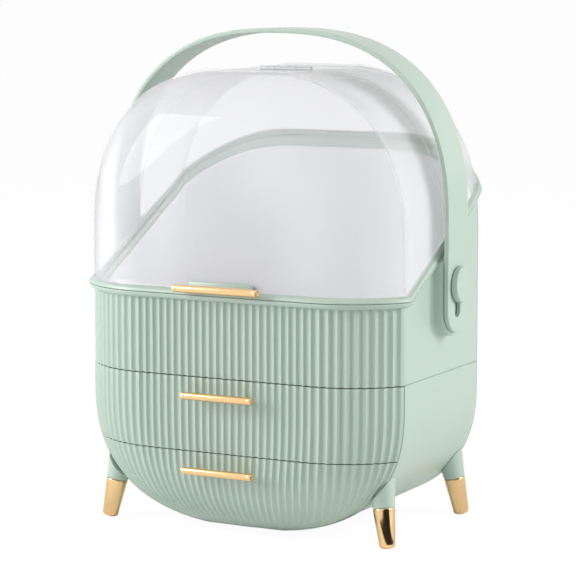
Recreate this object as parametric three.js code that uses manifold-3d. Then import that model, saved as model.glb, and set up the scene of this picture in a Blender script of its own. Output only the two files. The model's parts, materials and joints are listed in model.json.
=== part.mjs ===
// Dustproof makeup organizer: a ribbed base with two drawers on splayed legs, an upper compartment with a
// slanted rim, a clear cover whose front half flips up, and a carry handle that swings back and lifts.
// Millimetres, +Z up, the front faces -Y. The drawing origin is on the ground under the middle of the body.
import * as THREE from "three";
import { mergeVertices } from "three/addons/utils/BufferGeometryUtils.js";
import Module from "manifold-3d";

// Clearances shared by all pieces
const FIT = 0.3; // between pieces that touch or are fastened together
const RUN = 0.4; // between pieces that slide or turn
const OVERRUN = 2; // how far a cut runs past what it cuts
const WELD = 1e-4; // points closer than this are one point

// Body outline from the front: superellipse quarters above and below straight sides
const HALF_WIDTH = 140; // from the middle to the crease at each side
const ROUNDNESS = 2.45; // exponent of the superellipse
const LOWER_CENTRE = 110; // height where the straight sides begin
const CURVE_FOOT = 3.5; // height of the lower curve's lowest point, before its flat end
const UPPER_CENTRE = 235; // height where the straight sides end
const UPPER_RISE = 135; // from there up to the crown
const FLAT_END_SHARE = 0.24; // part of the half width that is flat at the belly and the crown
const LEVEL_STEPS = 6;

// Body outline from above: flat front and back, with an arc from each to the creases
const HALF_DEPTH = 106.5;
const CORNER_SPAN = 63; // width of the arc at each end of the face
const CREASE_SETBACK = 36; // how far the arc falls back at the crease

// Ribs of the front face
const FLAT_RIBS = 12; // on each half of the flat middle
const CORNER_RIBS = 10; // on each arc
const CREASE_STRIP = 3; // smooth strip beside the crease
const RIB_DEPTH = 1.3;
const RIB_STEPS = 3;
const RIB_FULLNESS = 0.7; // exponent of the rib's half wave, under 1 for a full crest and a narrow groove
const RIB_DRAW_IN = 0.45; // how much of the body's narrowing the ribs follow
const RIB_CROWDING = 6; // how late the outer ribs crowd towards the crease
const RIB_FADE_FROM = 0.84; // share of the belly's fall where the ribs start to fade
const RIB_FADE_TO = 0.97;

// Walls and seams
const WALL = 3;
const SEAM = 0.8; // open line between drawer fronts and shells
const LOWER_SEAM = 69; // height of the seam between the two drawers
const UPPER_SEAM = 129; // height of the seam under the upper shell
const SHELF_THICKNESS = 2.5;
const SHELF_BACK_GAP = 11.5; // from the body's back to the shelf's back edge
const LEDGE_THICKNESS = 2.7;
const LEDGE_REACH = 6; // how far the shelf ledge stands in from the wall
const FLANGE_THICKNESS = 4.6; // top flange that the upper shell is screwed to
const FLANGE_REACH = 9;
const TRIM_WIDTH = 3; // raised trim round the drawer opening
const TRIM_PROUD = 0.7;

// Rim of the upper shell: level at the front, then a straight slope that steepens near the back
const RIM_FRONT = 194.5;
const RIM_LEVEL = 4.5; // level stretch behind the front crease
const RIM_SLOPE = 0.536;
const REAR_LIFT = 20; // extra height at the very back
const REAR_LIFT_RUN = 56.5; // depth over which the rim steepens
const REAR_STEPS = 4;
const BEAD_HEIGHT = 4.4;
const BEAD_PROUD = 4.4;

// Pale liner tray of the upper compartment
const LINER_WALL = 1.6;
const LINER_DROP = 8; // from the rim down to the liner's edge
const LINER_TOP = 262; // the edge runs level from here to the back
const BACKBOARD_HALF = 105; // half width of the arched board in the middle of the liner's back
const BACKBOARD_STEPS = 12;

// Drawers
const TRAY_WALL = 2;
const TRAY_SIDE_GAP = 5; // between the tray and the shell, where the leg screws are
const TRAY_BACK_GAP = 18.5; // from the body's back to the tray's back
const TRAY_CLEAR = 1.5; // from a tray's edge up to what is above it
const RUNNER_INSET = 4.6; // from the end of the flat belly to the middle of each runner
const RUNNER_WIDTH = 5;

// Gold bar handles
const BAR_RADIUS = 3;
const DRAWER_BAR_STAND = 10.2; // from the face to the bar's axis
const COVER_BAR_STAND = 7.4;
const BAR_CHAMFER = 0.6;
const DRAWER_BAR_LENGTH = 62.5;
const COVER_BAR_LENGTH = 74.5;
const BAR_DROP = 13.6; // from a drawer's upper seam to its bar
const COVER_BAR_RISE = 6; // from the front rim to the cover's bar
const POST_RADIUS = 2.2;
const POST_SHARE = 0.7; // place of the posts along the half bar
const TAB_WIDTH = 56;
const TAB_HEIGHT = 6.4; // above the cover's bead
const TAB_PROUD = 0.6;

// Screws
const SCREW_RADIUS = 1.4;
const SCREW_HEAD_RADIUS = 3.2;
const SCREW_HEAD_HEIGHT = 1.6;
const SCREW_GRIP = 6; // length in the piece that it bites
const SCREW_LOOSE = 0.2; // radial clearance of a screw in its hole

// Clear cover
const COVER_WALL = 2;
const COVER_SEAM_GAP = 0.8; // between the hood and the rear canopy
const SKIRT_DEPTH = 5; // lip of the canopy inside the rim
const SKIRT_WALL = 2;
const KNUCKLE_RADIUS = 2.8;
const HOOD_KNUCKLE = 20; // length of the middle knuckle
const SIDE_KNUCKLE = 13; // length of each outer knuckle
const PIN_RADIUS = 1;
const PIN_BORE = 1.35;

// Carry handle and its pivots
const HANDLE_STAND = 14; // from the body's crease out to the strap's outside
const HANDLE_SPRING_LIFT = 15; // start of the arch over the start of the crown's curve
const HANDLE_RISE_MORE = 16; // rise of the arch beyond the rise of the crown's curve
const STRAP_WIDTH = 36;
const STRAP_THICKNESS = 4.5;
const STRAP_TAIL = 38.5; // from the pivot down to the strap's round end
const HANDLE_STEPS = 12;
const HANDLE_LIFT = 21.6; // room in the slot for the handle to slide up
const PIVOT_DROP = 28.4; // from the rim over the pivot down to the pivot
const PIVOT_RADIUS = 4.6;
const BUTTON_RADIUS = 14.8;
const BUTTON_THICKNESS = 5;
const BUTTON_ROUND = 1.5;
const CLIP_RADIUS = 8;
const CLIP_THICKNESS = 2;
const BOSS_HALF = 31; // half width of the boss on the wall
const BOSS_FACE = 19; // half width of its flat face
const BOSS_TAIL = 41.5; // from the pivot down to the boss's lowest point
const BOSS_END_RISE = 21;
const BOSS_STEPS = 4;

// Legs: place of the foot, lean of the axis and the turned profile along it
const FOOT_INSET = 13; // from the body's crease in to the foot
const FOOT_BACK = 1; // from the crease towards the end of the body
const LEAN_X = 0.17; // inward per unit of height
const LEAN_Y = 0.126;
const FOOT_RADIUS = 6.5;
const FOOT_ROUND = 1.5;
const TIP_LENGTH = 31.5;
const TIP_RADIUS = 8.8;
const LEG_RADIUS = 12; // at the leg's upper end
const LEG_LENGTH = 66;
const SPIGOT_RADIUS = 5;
const SPIGOT_DEPTH = 18;

// Facets of round pieces
const FINE_SIDES = 18;
const ROUND_SIDES = 12;
const SMALL_SIDES = 6;

const COLOURS = {
  sage: new THREE.MeshStandardMaterial({ color: 0xbfd3c5, roughness: 0.45 }),
  clear: new THREE.MeshStandardMaterial({
    color: 0xecedf3,
    roughness: 0.08,
    transparent: true,
    opacity: 0.25,
  }),
  gold: new THREE.MeshStandardMaterial({ color: 0xe2bf83, roughness: 0.18, metalness: 1 }),
  pale: new THREE.MeshStandardMaterial({ color: 0xeeeef2, roughness: 0.5 }),
  steel: new THREE.MeshStandardMaterial({ color: 0xb8babd, roughness: 0.3, metalness: 1 }),
};

// Values worked out from the sizes above
const FACE_FLAT = HALF_WIDTH - CORNER_SPAN;
const LOWER_RISE = LOWER_CENTRE - CURVE_FOOT;
const CORNER_RADIUS = (CORNER_SPAN ** 2 + CREASE_SETBACK ** 2) / (2 * CREASE_SETBACK);
const CORNER_TURN = Math.asin(CORNER_SPAN / CORNER_RADIUS);
const CREASE_Y = HALF_DEPTH - CREASE_SETBACK;
const END_SHARE = (1 - FLAT_END_SHARE ** ROUNDNESS) ** (1 / ROUNDNESS);
const FLAT_TURN = Math.acos(FLAT_END_SHARE ** (ROUNDNESS / 2));
const BELLY = LOWER_CENTRE - LOWER_RISE * END_SHARE;
const CROWN = UPPER_CENTRE + UPPER_RISE * END_SHARE;
const FLOOR_TOP = UPPER_SEAM + SEAM / 2 + WALL;
const RIM_KNEE = RIM_LEVEL - CREASE_Y;
const PIVOT_HEIGHT = RIM_FRONT - RIM_SLOPE * RIM_KNEE - PIVOT_DROP;
const SLOT_END = PIVOT_HEIGHT - PIVOT_RADIUS - RUN - HANDLE_LIFT;
const STRAP_END = PIVOT_HEIGHT - STRAP_TAIL;
const BOSS_END = PIVOT_HEIGHT - BOSS_TAIL;
const HANDLE_HALF = HALF_WIDTH + HANDLE_STAND;
const HANDLE_SPRING = UPPER_CENTRE + HANDLE_SPRING_LIFT;
const HANDLE_RISE = UPPER_RISE + HANDLE_RISE_MORE;
const STRAP_INNER = HANDLE_HALF - STRAP_THICKNESS;
const BOSS_OUTER = STRAP_INNER - RUN;
const REACH_X = HANDLE_HALF + 2 * BUTTON_THICKNESS; // past everything sideways
const TALL = HANDLE_SPRING + HANDLE_RISE; // past everything upwards
const LEDGE_TOP = LOWER_SEAM - SHELF_THICKNESS / 2 - FIT;
const UPPER_TRAY_TOP = UPPER_SEAM - SEAM / 2 - FLANGE_THICKNESS - TRAY_CLEAR;
const LOWER_TRAY_TOP = LEDGE_TOP - LEDGE_THICKNESS - TRAY_CLEAR;
const TRAY_BACK = HALF_DEPTH - TRAY_BACK_GAP;
const RUNNER_X = FLAT_END_SHARE * HALF_WIDTH - RUNNER_INSET;
const FOOT_X = HALF_WIDTH - FOOT_INSET;
const FOOT_Y = CREASE_Y + FOOT_BACK;

const wasm = await Module();
wasm.setup();

function toSolid(geometry) {
  const bare = geometry.clone();
  bare.deleteAttribute("normal");
  bare.deleteAttribute("uv");
  const merged = mergeVertices(bare, WELD);
  return new wasm.Manifold(
    new wasm.Mesh({
      numProp: 3,
      vertProperties: new Float32Array(merged.attributes.position.array),
      triVerts: new Uint32Array(merged.index.array),
    }),
  );
}

function toGeometry(solid) {
  const mesh = solid.getMesh();
  const geometry = new THREE.BufferGeometry();
  geometry.setAttribute("position", new THREE.BufferAttribute(mesh.vertProperties, 3));
  geometry.setIndex(new THREE.BufferAttribute(mesh.triVerts, 1));
  geometry.computeVertexNormals();
  return geometry;
}

// Closed solid from rings of equally many points, each further along and turning anticlockwise about the way.
function ringSolid(rings) {
  const count = rings[0].length;
  const points = rings.flat();
  const faces = [];
  for (let j = 0; j + 1 < rings.length; j++)
    for (let i = 0; i < count; i++) {
      const a = j * count + i;
      const b = j * count + ((i + 1) % count);
      faces.push(a, b, b + count, a, b + count, a + count);
    }
  const middle = (ring) =>
    ring.reduce((sum, p) => sum.add(p), new THREE.Vector3()).divideScalar(count);
  points.push(middle(rings[0]), middle(rings.at(-1)));
  const last = (rings.length - 1) * count;
  for (let i = 0; i < count; i++) {
    const next = (i + 1) % count;
    faces.push(points.length - 2, next, i);
    faces.push(points.length - 1, last + i, last + next);
  }
  const geometry = new THREE.BufferGeometry().setFromPoints(points);
  geometry.setIndex(faces);
  return toSolid(geometry);
}

function block(x0, x1, y0, y1, z0, z1) {
  const geometry = new THREE.BoxGeometry(x1 - x0, y1 - y0, z1 - z0);
  geometry.translate((x0 + x1) / 2, (y0 + y1) / 2, (z0 + z1) / 2);
  return toSolid(geometry);
}

const inFront = (y) => block(-REACH_X, REACH_X, -TALL, y, -TALL, 2 * TALL);
const behind = (y) => block(-REACH_X, REACH_X, y, TALL, -TALL, 2 * TALL);

// Turned solid: profile points are [radius, place along the axis], from the axis back to the axis.
function turned(profile, sides) {
  const points = profile.map(([r, h]) => new THREE.Vector2(r, h));
  return toSolid(new THREE.LatheGeometry(points, sides).rotateX(Math.PI / 2));
}

const disc = (radius, from, to, sides) =>
  turned([[0, from], [radius, from], [radius, to], [0, to]], sides);

const alongX = (solid, y = 0, z = 0) => solid.rotate([0, 90, 0]).translate([0, y, z]);
const alongY = (solid, x = 0, z = 0) => solid.rotate([90, 0, 0]).translate([x, 0, z]);

// Prism along X of an outline drawn in [y, z].
function sidePrism(outline, x0, x1) {
  const shape = new THREE.Shape(outline.map(([y, z]) => new THREE.Vector2(y, z)));
  const geometry = new THREE.ExtrudeGeometry(shape, { depth: x1 - x0, bevelEnabled: false });
  const turn = new THREE.Matrix4().makeBasis(
    new THREE.Vector3(0, 1, 0),
    new THREE.Vector3(0, 0, 1),
    new THREE.Vector3(1, 0, 0),
  );
  return toSolid(geometry.applyMatrix4(turn).translate(x0, 0, 0));
}

// Prism along Y of an outline drawn in [x, z].
function frontPrism(outline, y0, y1) {
  const shape = new THREE.Shape(outline.map(([x, z]) => new THREE.Vector2(x, z)));
  const geometry = new THREE.ExtrudeGeometry(shape, { depth: y1 - y0, bevelEnabled: false });
  return toSolid(geometry.rotateX(Math.PI / 2).translate(0, y1, 0));
}

// The body's skin

// Distance of the face from the mid plane, where `reach` is the way out from the flat middle.
function faceDepth(reach, inset) {
  const over = Math.max(0, reach - FACE_FLAT);
  const square = (CORNER_RADIUS - inset) ** 2 - over ** 2;
  return HALF_DEPTH - CORNER_RADIUS + Math.sqrt(Math.max(0, square));
}

// How far a height is into the rounded part: 0 on the straight sides, 1 at the belly or the crown.
function fall(z, inset) {
  if (z < LOWER_CENTRE) return (LOWER_CENTRE - z) / (LOWER_RISE - inset);
  if (z > UPPER_CENTRE) return (z - UPPER_CENTRE) / (UPPER_RISE - inset);
  return 0;
}

function halfWidthAt(z, inset) {
  const share = Math.max(0, 1 - fall(z, inset) ** ROUNDNESS);
  return (HALF_WIDTH - inset) * share ** (1 / ROUNDNESS);
}

function faceDepthAt(x, z, inset) {
  const half = HALF_WIDTH - inset;
  const sum = (Math.abs(x) / half) ** ROUNDNESS + fall(z, inset) ** ROUNDNESS;
  return faceDepth(Math.min(half, half * sum ** (1 / ROUNDNESS)), inset);
}

// Height of the belly's outside at a half width.
function bellyHeight(x) {
  return LOWER_CENTRE - LOWER_RISE * (1 - (x / HALF_WIDTH) ** ROUNDNESS) ** (1 / ROUNDNESS);
}

// Heights of all rings of a skin, from the belly to the crown.
function skinLevels(inset) {
  const sines = [];
  for (let i = 0; i <= LEVEL_STEPS; i++)
    sines.push(Math.sin((FLAT_TURN * i) / LEVEL_STEPS) ** (2 / ROUNDNESS));
  const lower = sines.map((s) => LOWER_CENTRE - s * (LOWER_RISE - inset)).reverse();
  return [...lower, ...sines.map((s) => UPPER_CENTRE + s * (UPPER_RISE - inset))];
}

const smoothstep = (from, to, value) => THREE.MathUtils.smoothstep(value, from, to);

const PLAIN_SHARES = [0, 0.3, 0.55, 0.68, 0.8, 0.91, 1];
const PLAIN_COLUMNS = PLAIN_SHARES.map((share) => ({ share, crest: 1 }));

// Columns of the ribbed face on one half: place as a share of the half width, and height on the rib.
function ribColumns() {
  const cornerPitch = (CORNER_RADIUS * CORNER_TURN - CREASE_STRIP) / CORNER_RIBS;
  const place = (count) =>
    count <= FLAT_RIBS
      ? (count * FACE_FLAT) / FLAT_RIBS
      : FACE_FLAT + CORNER_RADIUS * Math.sin(((count - FLAT_RIBS) * cornerPitch) / CORNER_RADIUS);
  const ribs = FLAT_RIBS + CORNER_RIBS;
  const columns = [];
  for (let i = 0; i <= ribs * RIB_STEPS; i++) {
    const wave = Math.sin((Math.PI * (i % RIB_STEPS)) / RIB_STEPS);
    columns.push({ share: place(i / RIB_STEPS) / HALF_WIDTH, crest: wave ** RIB_FULLNESS });
  }
  columns.push({ share: (columns.at(-1).share + 1) / 2, crest: 1 }, { share: 1, crest: 1 });
  return columns;
}
const RIB_COLUMNS = ribColumns();

// Half of the face at one height, from the middle to the crease, as [x, distance from the mid plane].
function halfFace(z, inset, columns) {
  const width = halfWidthAt(z, inset);
  const narrowing = width / (HALF_WIDTH - inset);
  const fade = 1 - smoothstep(RIB_FADE_FROM, RIB_FADE_TO, fall(z, inset));
  const stretch = (1 - RIB_DRAW_IN * (1 - narrowing)) / narrowing;
  const crowd = stretch ** RIB_CROWDING - 1;
  return columns.map(({ share, crest }) => {
    const slack = 1 + crowd * share ** RIB_CROWDING;
    const x = (width * stretch * share) / slack ** (1 / RIB_CROWDING);
    const spacing = Math.min(1, (narrowing * stretch) / slack ** (1 + 1 / RIB_CROWDING));
    const groove = RIB_DEPTH * (1 - crest) * fade * spacing;
    const depth = faceDepthAt(x, z, inset);
    const side = faceDepthAt(x + RIB_DEPTH, z, inset);
    const slope = x + RIB_DEPTH < width ? (depth - side) / RIB_DEPTH : 0;
    const length = Math.hypot(1, slope);
    return [x - (groove * slope) / length, depth - groove / length];
  });
}

function skinRing(z, inset, ribbed) {
  const front = halfFace(z, inset, ribbed ? RIB_COLUMNS : PLAIN_COLUMNS);
  const back = halfFace(z, inset, PLAIN_COLUMNS);
  const left = front.slice(1).reverse();
  return [
    ...left.map(([x, d]) => new THREE.Vector3(-x, -d, z)),
    ...front.map(([x, d]) => new THREE.Vector3(x, -d, z)),
    ...back.slice().reverse().map(([x, d]) => new THREE.Vector3(x, d, z)),
    ...back.slice(1).map(([x, d]) => new THREE.Vector3(-x, d, z)),
  ];
}

// The body's solid between two heights, with its skin moved inwards by `inset`. A ring at a cut lies on the
// straight lines between the full rings beside it, so that skins cut at different heights still nest.
function bodySolid(inset, from, to, ribbed = false) {
  const levels = skinLevels(inset);
  const low = Math.max(from, levels[0]);
  const high = Math.min(to, levels.at(-1));
  const ringAt = (z) => skinRing(z, inset, ribbed);
  const cutRing = (z) => {
    const next = Math.max(1, levels.findIndex((level) => level >= z));
    const share = (z - levels[next - 1]) / (levels[next] - levels[next - 1]);
    const below = ringAt(levels[next - 1]);
    return ringAt(levels[next]).map((point, i) => below[i].clone().lerp(point, share));
  };
  const inner = levels.filter((z) => z > low + WELD && z < high - WELD);
  return ringSolid([cutRing(low), ...inner.map(ringAt), cutRing(high)]);
}

const shellBetween = (outer, inner, from, to) =>
  bodySolid(outer, from, to).subtract(bodySolid(inner, from - OVERRUN, to + OVERRUN));

// Outline of the body from the front, pushed out by `proud`, as a prism through the whole depth.
function outlinePrism(proud, y0, y1) {
  const right = skinLevels(-proud).map((z) => [halfWidthAt(z, -proud), z]);
  return frontPrism([...right, ...right.map(([x, z]) => [-x, z]).reverse()], y0, y1);
}

// Rim line from the side, and the space between two heights above it
function rimHeight(y) {
  const near = Math.min(y, HALF_DEPTH);
  const rear = Math.max(0, 1 - (HALF_DEPTH - near) / REAR_LIFT_RUN);
  return RIM_FRONT + RIM_SLOPE * Math.max(0, near - RIM_KNEE) + REAR_LIFT * rear ** 2;
}

function rimLine() {
  const places = [-2 * HALF_DEPTH, RIM_KNEE];
  for (let i = REAR_STEPS; i >= 0; i--)
    places.push(HALF_DEPTH - (REAR_LIFT_RUN * i) / REAR_STEPS);
  return [...places, 2 * HALF_DEPTH].map((y) => [y, rimHeight(y)]);
}
const RIM_LINE = rimLine();

function rimBand(low, high) {
  const lower = RIM_LINE.map(([y, z]) => [y, z + low]);
  const upper = RIM_LINE.map(([y, z]) => [y, z + high]).reverse();
  return sidePrism([...lower, ...upper], -REACH_X, REACH_X);
}

const belowRim = (drop) => rimBand(-TALL, -drop);
const aboveRim = (lift) => rimBand(lift, TALL);

// Screw along +Z with its head on top of z = 0.
function screwSolid(length) {
  return turned(
    [[0, -length], [SCREW_RADIUS, -length], [SCREW_RADIUS, 0], [SCREW_HEAD_RADIUS, 0],
      [SCREW_HEAD_RADIUS, SCREW_HEAD_HEIGHT], [0, SCREW_HEAD_HEIGHT]],
    SMALL_SIDES,
  );
}

const screwHole = (from, to) => disc(SCREW_RADIUS + SCREW_LOOSE, from, to, SMALL_SIDES);
const headHole = (from, to) => disc(SCREW_HEAD_RADIUS + FIT, from, to, SMALL_SIDES);

// Assembly

const organizer = new THREE.Group();

function add(name, solid, material) {
  const mesh = new THREE.Mesh(toGeometry(solid), material);
  mesh.name = name;
  organizer.add(mesh);
}

const SIDES = { left: -1, right: 1 };
const ENDS = { front: -1, rear: 1 };

// Places that more than one piece needs
const TRAY_FACE = WALL + RUN; // inset of a tray behind its drawer front
const shellScrews = [-1, 1].flatMap((x) => [-1, 1].map((y) => [
  x * (HALF_WIDTH - WALL - FLANGE_REACH / 2),
  (y * CREASE_Y * 3) / 4,
]));
const drawerPost = (DRAWER_BAR_LENGTH / 2) * POST_SHARE;
const coverPost = (COVER_BAR_LENGTH / 2) * POST_SHARE;
const COVER_BAR_HEIGHT = RIM_FRONT + COVER_BAR_RISE;
const TAB_FACE = HALF_DEPTH + BEAD_PROUD + TAB_PROUD;
const COVER_SCREW_SEAT = HALF_DEPTH - COVER_WALL - FIT;

// Lower shell: drawer housing with a curved belly, a ledge for the shelf, runners and a top flange
function lowerShell() {
  const top = UPPER_SEAM - SEAM / 2;
  const front = -CREASE_Y;
  const walls = shellBetween(0, WALL, BELLY, top)
    .intersect(behind(front))
    .subtract(outlinePrism(-WALL, front - OVERRUN, front + TRIM_WIDTH));
  const belly = bodySolid(0, BELLY, BELLY + WALL).intersect(behind(front));
  const trim = shellBetween(-TRIM_PROUD, WALL / 2, BELLY - TRIM_PROUD, top)
    .intersect(block(-REACH_X, REACH_X, front, front + TRIM_WIDTH, -TALL, top));
  const ledge = shellBetween(WALL / 2, WALL + LEDGE_REACH, LEDGE_TOP - LEDGE_THICKNESS, LEDGE_TOP)
    .intersect(behind(front + TRIM_WIDTH));
  const flange = shellBetween(WALL / 2, WALL + FLANGE_REACH, top - FLANGE_THICKNESS, top)
    .intersect(behind(front + TRIM_WIDTH));
  let shell = walls.add(belly).add(trim).add(ledge).add(flange);
  const runnerLow = bellyHeight(RUNNER_X) + WALL / 2;
  const runnerTop = BELLY + WALL + TRAY_SIDE_GAP - RUN;
  for (const x of [-RUNNER_X, RUNNER_X])
    shell = shell.add(
      block(x - RUNNER_WIDTH / 2, x + RUNNER_WIDTH / 2, front, TRAY_BACK, runnerLow, runnerTop),
    );
  for (const [x, y] of shellScrews)
    shell = shell.subtract(screwHole(top - SCREW_GRIP, top + OVERRUN).translate([x, y, 0]));
  for (const leg of legs())
    shell = shell
      .subtract(screwHole(BELLY, LOWER_TRAY_TOP).translate([leg.x, leg.y, 0]))
      .subtract(headHole(leg.seat, LOWER_TRAY_TOP).translate([leg.x, leg.y, 0]));
  return shell;
}

function drawerShelf() {
  return bodySolid(WALL + FIT, LOWER_SEAM - SHELF_THICKNESS / 2, LOWER_SEAM + SHELF_THICKNESS / 2)
    .intersect(behind(-CREASE_Y + TRIM_WIDTH))
    .intersect(inFront(HALF_DEPTH - SHELF_BACK_GAP));
}

// Boss on the side wall that the handle turns on: round flanks, a flat face, an elliptical lower end.
function boss() {
  const rings = [];
  for (let i = -1; i <= BOSS_STEPS; i++) {
    const out = Math.max(0, i) / BOSS_STEPS;
    const round = Math.cos((Math.PI / 2) * out);
    const half = BOSS_FACE + (BOSS_HALF - BOSS_FACE) * round;
    const end = BOSS_END + ((BOSS_HALF - BOSS_FACE) * (1 - round)) / 2;
    const proud = (BOSS_OUTER - HALF_WIDTH) * Math.sin((Math.PI / 2) * out);
    const x = i < 0 ? HALF_WIDTH - WALL / 2 : HALF_WIDTH + proud;
    const ring = [];
    for (let k = 0; k <= ROUND_SIDES; k++) {
      const angle = Math.PI + (Math.PI * k) / ROUND_SIDES;
      const z = BOSS_END + BOSS_END_RISE + (BOSS_END + BOSS_END_RISE - end) * Math.sin(angle);
      ring.push(new THREE.Vector3(x, half * Math.cos(angle), z));
    }
    ring.push(new THREE.Vector3(x, half, TALL), new THREE.Vector3(x, -half, TALL));
    rings.push(ring);
  }
  return ringSolid(rings);
}

// Upper shell: ribbed front, plain sides and back, floor, rim bead and the two handle bosses
function upperShell() {
  const bottom = UPPER_SEAM + SEAM / 2;
  const top = rimHeight(HALF_DEPTH) + OVERRUN;
  const bead = shellBetween(-BEAD_PROUD, WALL / 2, RIM_FRONT - BEAD_HEIGHT, top)
    .intersect(rimBand(-BEAD_HEIGHT, 0));
  const right = boss();
  const left = right.mirror([1, 0, 0]);
  const outside = bodySolid(0, bottom, top, true).add(right).add(left);
  let shell = outside
    .intersect(belowRim(0))
    .add(bead)
    .subtract(bodySolid(WALL, FLOOR_TOP, UPPER_CENTRE + UPPER_RISE));
  const clipSeat = HALF_WIDTH - WALL + FIT + CLIP_THICKNESS;
  const bore = disc(PIVOT_RADIUS + RUN, HALF_WIDTH / 2, REACH_X, ROUND_SIDES);
  const clipRoom = disc(CLIP_RADIUS + RUN, HALF_WIDTH / 2, clipSeat + FIT, ROUND_SIDES);
  const pivotCut = alongX(bore.add(clipRoom), 0, PIVOT_HEIGHT);
  shell = shell.subtract(pivotCut).subtract(pivotCut.mirror([1, 0, 0]));
  const headSeat = FLOOR_TOP - SCREW_HEAD_HEIGHT - FIT;
  for (const [x, y] of shellScrews)
    shell = shell
      .subtract(screwHole(bottom - OVERRUN, FLOOR_TOP).translate([x, y, 0]))
      .subtract(headHole(headSeat, FLOOR_TOP + OVERRUN).translate([x, y, 0]));
  return shell;
}

// Pale tray inside the upper shell: its edge follows the rim, then runs level to an arched board at the back
function linerTray() {
  const top = rimHeight(HALF_DEPTH) - LINER_DROP;
  const outer = bodySolid(WALL + RUN, FLOOR_TOP + FIT, top);
  const inner = bodySolid(WALL + RUN + LINER_WALL, FLOOR_TOP + FIT + LINER_WALL, top + OVERRUN);
  const arch = [];
  for (let i = 0; i <= BACKBOARD_STEPS; i++) {
    const turn = (Math.PI * i) / BACKBOARD_STEPS;
    arch.push([BACKBOARD_HALF * Math.cos(turn), LINER_TOP + (top - LINER_TOP) * Math.sin(turn)]);
  }
  const keep = block(-REACH_X, REACH_X, -TALL, TALL, 0, LINER_TOP).add(frontPrism(arch, 0, TALL));
  return outer.subtract(inner).intersect(belowRim(LINER_DROP)).intersect(keep);
}

// Drawer front: ribbed bowl that closes the housing, with holes for the bar's screws
function drawerFront(from, to) {
  let front = bodySolid(0, from, to, true)
    .subtract(bodySolid(WALL, from === BELLY ? BELLY + WALL : from - OVERRUN, to + OVERRUN))
    .intersect(inFront(-CREASE_Y - FIT));
  for (const x of [-drawerPost, drawerPost])
    front = front.subtract(alongY(screwHole(0, 2 * HALF_DEPTH), x, barHeight(to)));
  return front;
}

const barHeight = (drawerTop) => drawerTop + SEAM / 2 - BAR_DROP;

function drawerTray(sideInset, from, to, barZ) {
  const body = (wall, top) => {
    const sides = bodySolid(sideInset + wall, from + wall, top).intersect(inFront(TRAY_BACK - wall));
    const bow = bodySolid(TRAY_FACE + wall, from + wall, top).intersect(inFront(-CREASE_Y - wall));
    return sides.add(bow);
  };
  let tray = body(0, to).subtract(body(TRAY_WALL, to + OVERRUN));
  const face = HALF_DEPTH - TRAY_FACE - TRAY_WALL;
  const cut = screwHole(0, 2 * HALF_DEPTH).add(headHole(face - SCREW_GRIP, face));
  for (const x of [-drawerPost, drawerPost])
    tray = tray.subtract(alongY(cut, x, barZ));
  return tray;
}

// Bar with two posts back to the face, and a hole for a screw in each post
function barSolid(length, post, face, stand) {
  const half = length / 2;
  const axis = face + stand;
  const rod = alongX(turned(
    [[0, -half], [BAR_RADIUS - BAR_CHAMFER, -half], [BAR_RADIUS, BAR_CHAMFER - half],
      [BAR_RADIUS, half - BAR_CHAMFER], [BAR_RADIUS - BAR_CHAMFER, half], [0, half]],
    ROUND_SIDES,
  ), -axis);
  let bar = rod;
  for (const x of [-post, post]) {
    bar = bar.add(alongY(disc(POST_RADIUS, face + FIT, axis, SMALL_SIDES), x));
    bar = bar.subtract(alongY(screwHole(0, face + SCREW_GRIP), x));
  }
  return bar;
}

// Screw from inside the face into a bar's post, with its head on the face at `seat`
function barScrew(x, z, seat, face) {
  return alongY(screwSolid(face + SCREW_GRIP - FIT - seat).mirror([0, 0, 1]).translate([0, 0, seat]), x, z);
}

function addDrawer(name, from, to, tray) {
  const z = barHeight(to);
  add(`${name}_drawer_front`, drawerFront(from, to), COLOURS.sage);
  add(`${name}_drawer_tray`, drawerTray(tray.inset, tray.from, tray.to, z), COLOURS.sage);
  const bar = barSolid(DRAWER_BAR_LENGTH, drawerPost, HALF_DEPTH, DRAWER_BAR_STAND);
  add(`${name}_drawer_bar`, bar.translate([0, 0, z]), COLOURS.gold);
  const seat = HALF_DEPTH - TRAY_FACE - TRAY_WALL - RUN;
  for (const [side, sign] of Object.entries(SIDES))
    add(`${name}_bar_screw_${side}`, barScrew(sign * drawerPost, z, seat, HALF_DEPTH), COLOURS.steel);
}

// Clear cover: one skin from the rim to the crown, split across the middle
const hinge = { y: 0, z: CROWN };

function coverSkin() {
  return shellBetween(0, COVER_WALL, RIM_FRONT, UPPER_CENTRE + UPPER_RISE)
    .add(bodySolid(0, CROWN - COVER_WALL, TALL))
    .intersect(aboveRim(FIT));
}

const knuckle = (radius, x0, x1) => alongX(disc(radius, x0, x1, ROUND_SIDES), hinge.y, hinge.z);

function hoodShell() {
  const half = HOOD_KNUCKLE / 2;
  const far = half + SIDE_KNUCKLE + RUN;
  let hood = coverSkin()
    .intersect(inFront(hinge.y - COVER_SEAM_GAP / 2))
    .add(knuckle(KNUCKLE_RADIUS, -half, half))
    .subtract(knuckle(KNUCKLE_RADIUS + RUN, half, far))
    .subtract(knuckle(KNUCKLE_RADIUS + RUN, -far, -half))
    .subtract(knuckle(PIN_BORE, -far, far));
  for (const x of [-coverPost, coverPost])
    hood = hood.subtract(alongY(screwHole(0, 2 * HALF_DEPTH), x, COVER_BAR_HEIGHT));
  return hood;
}

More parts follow.
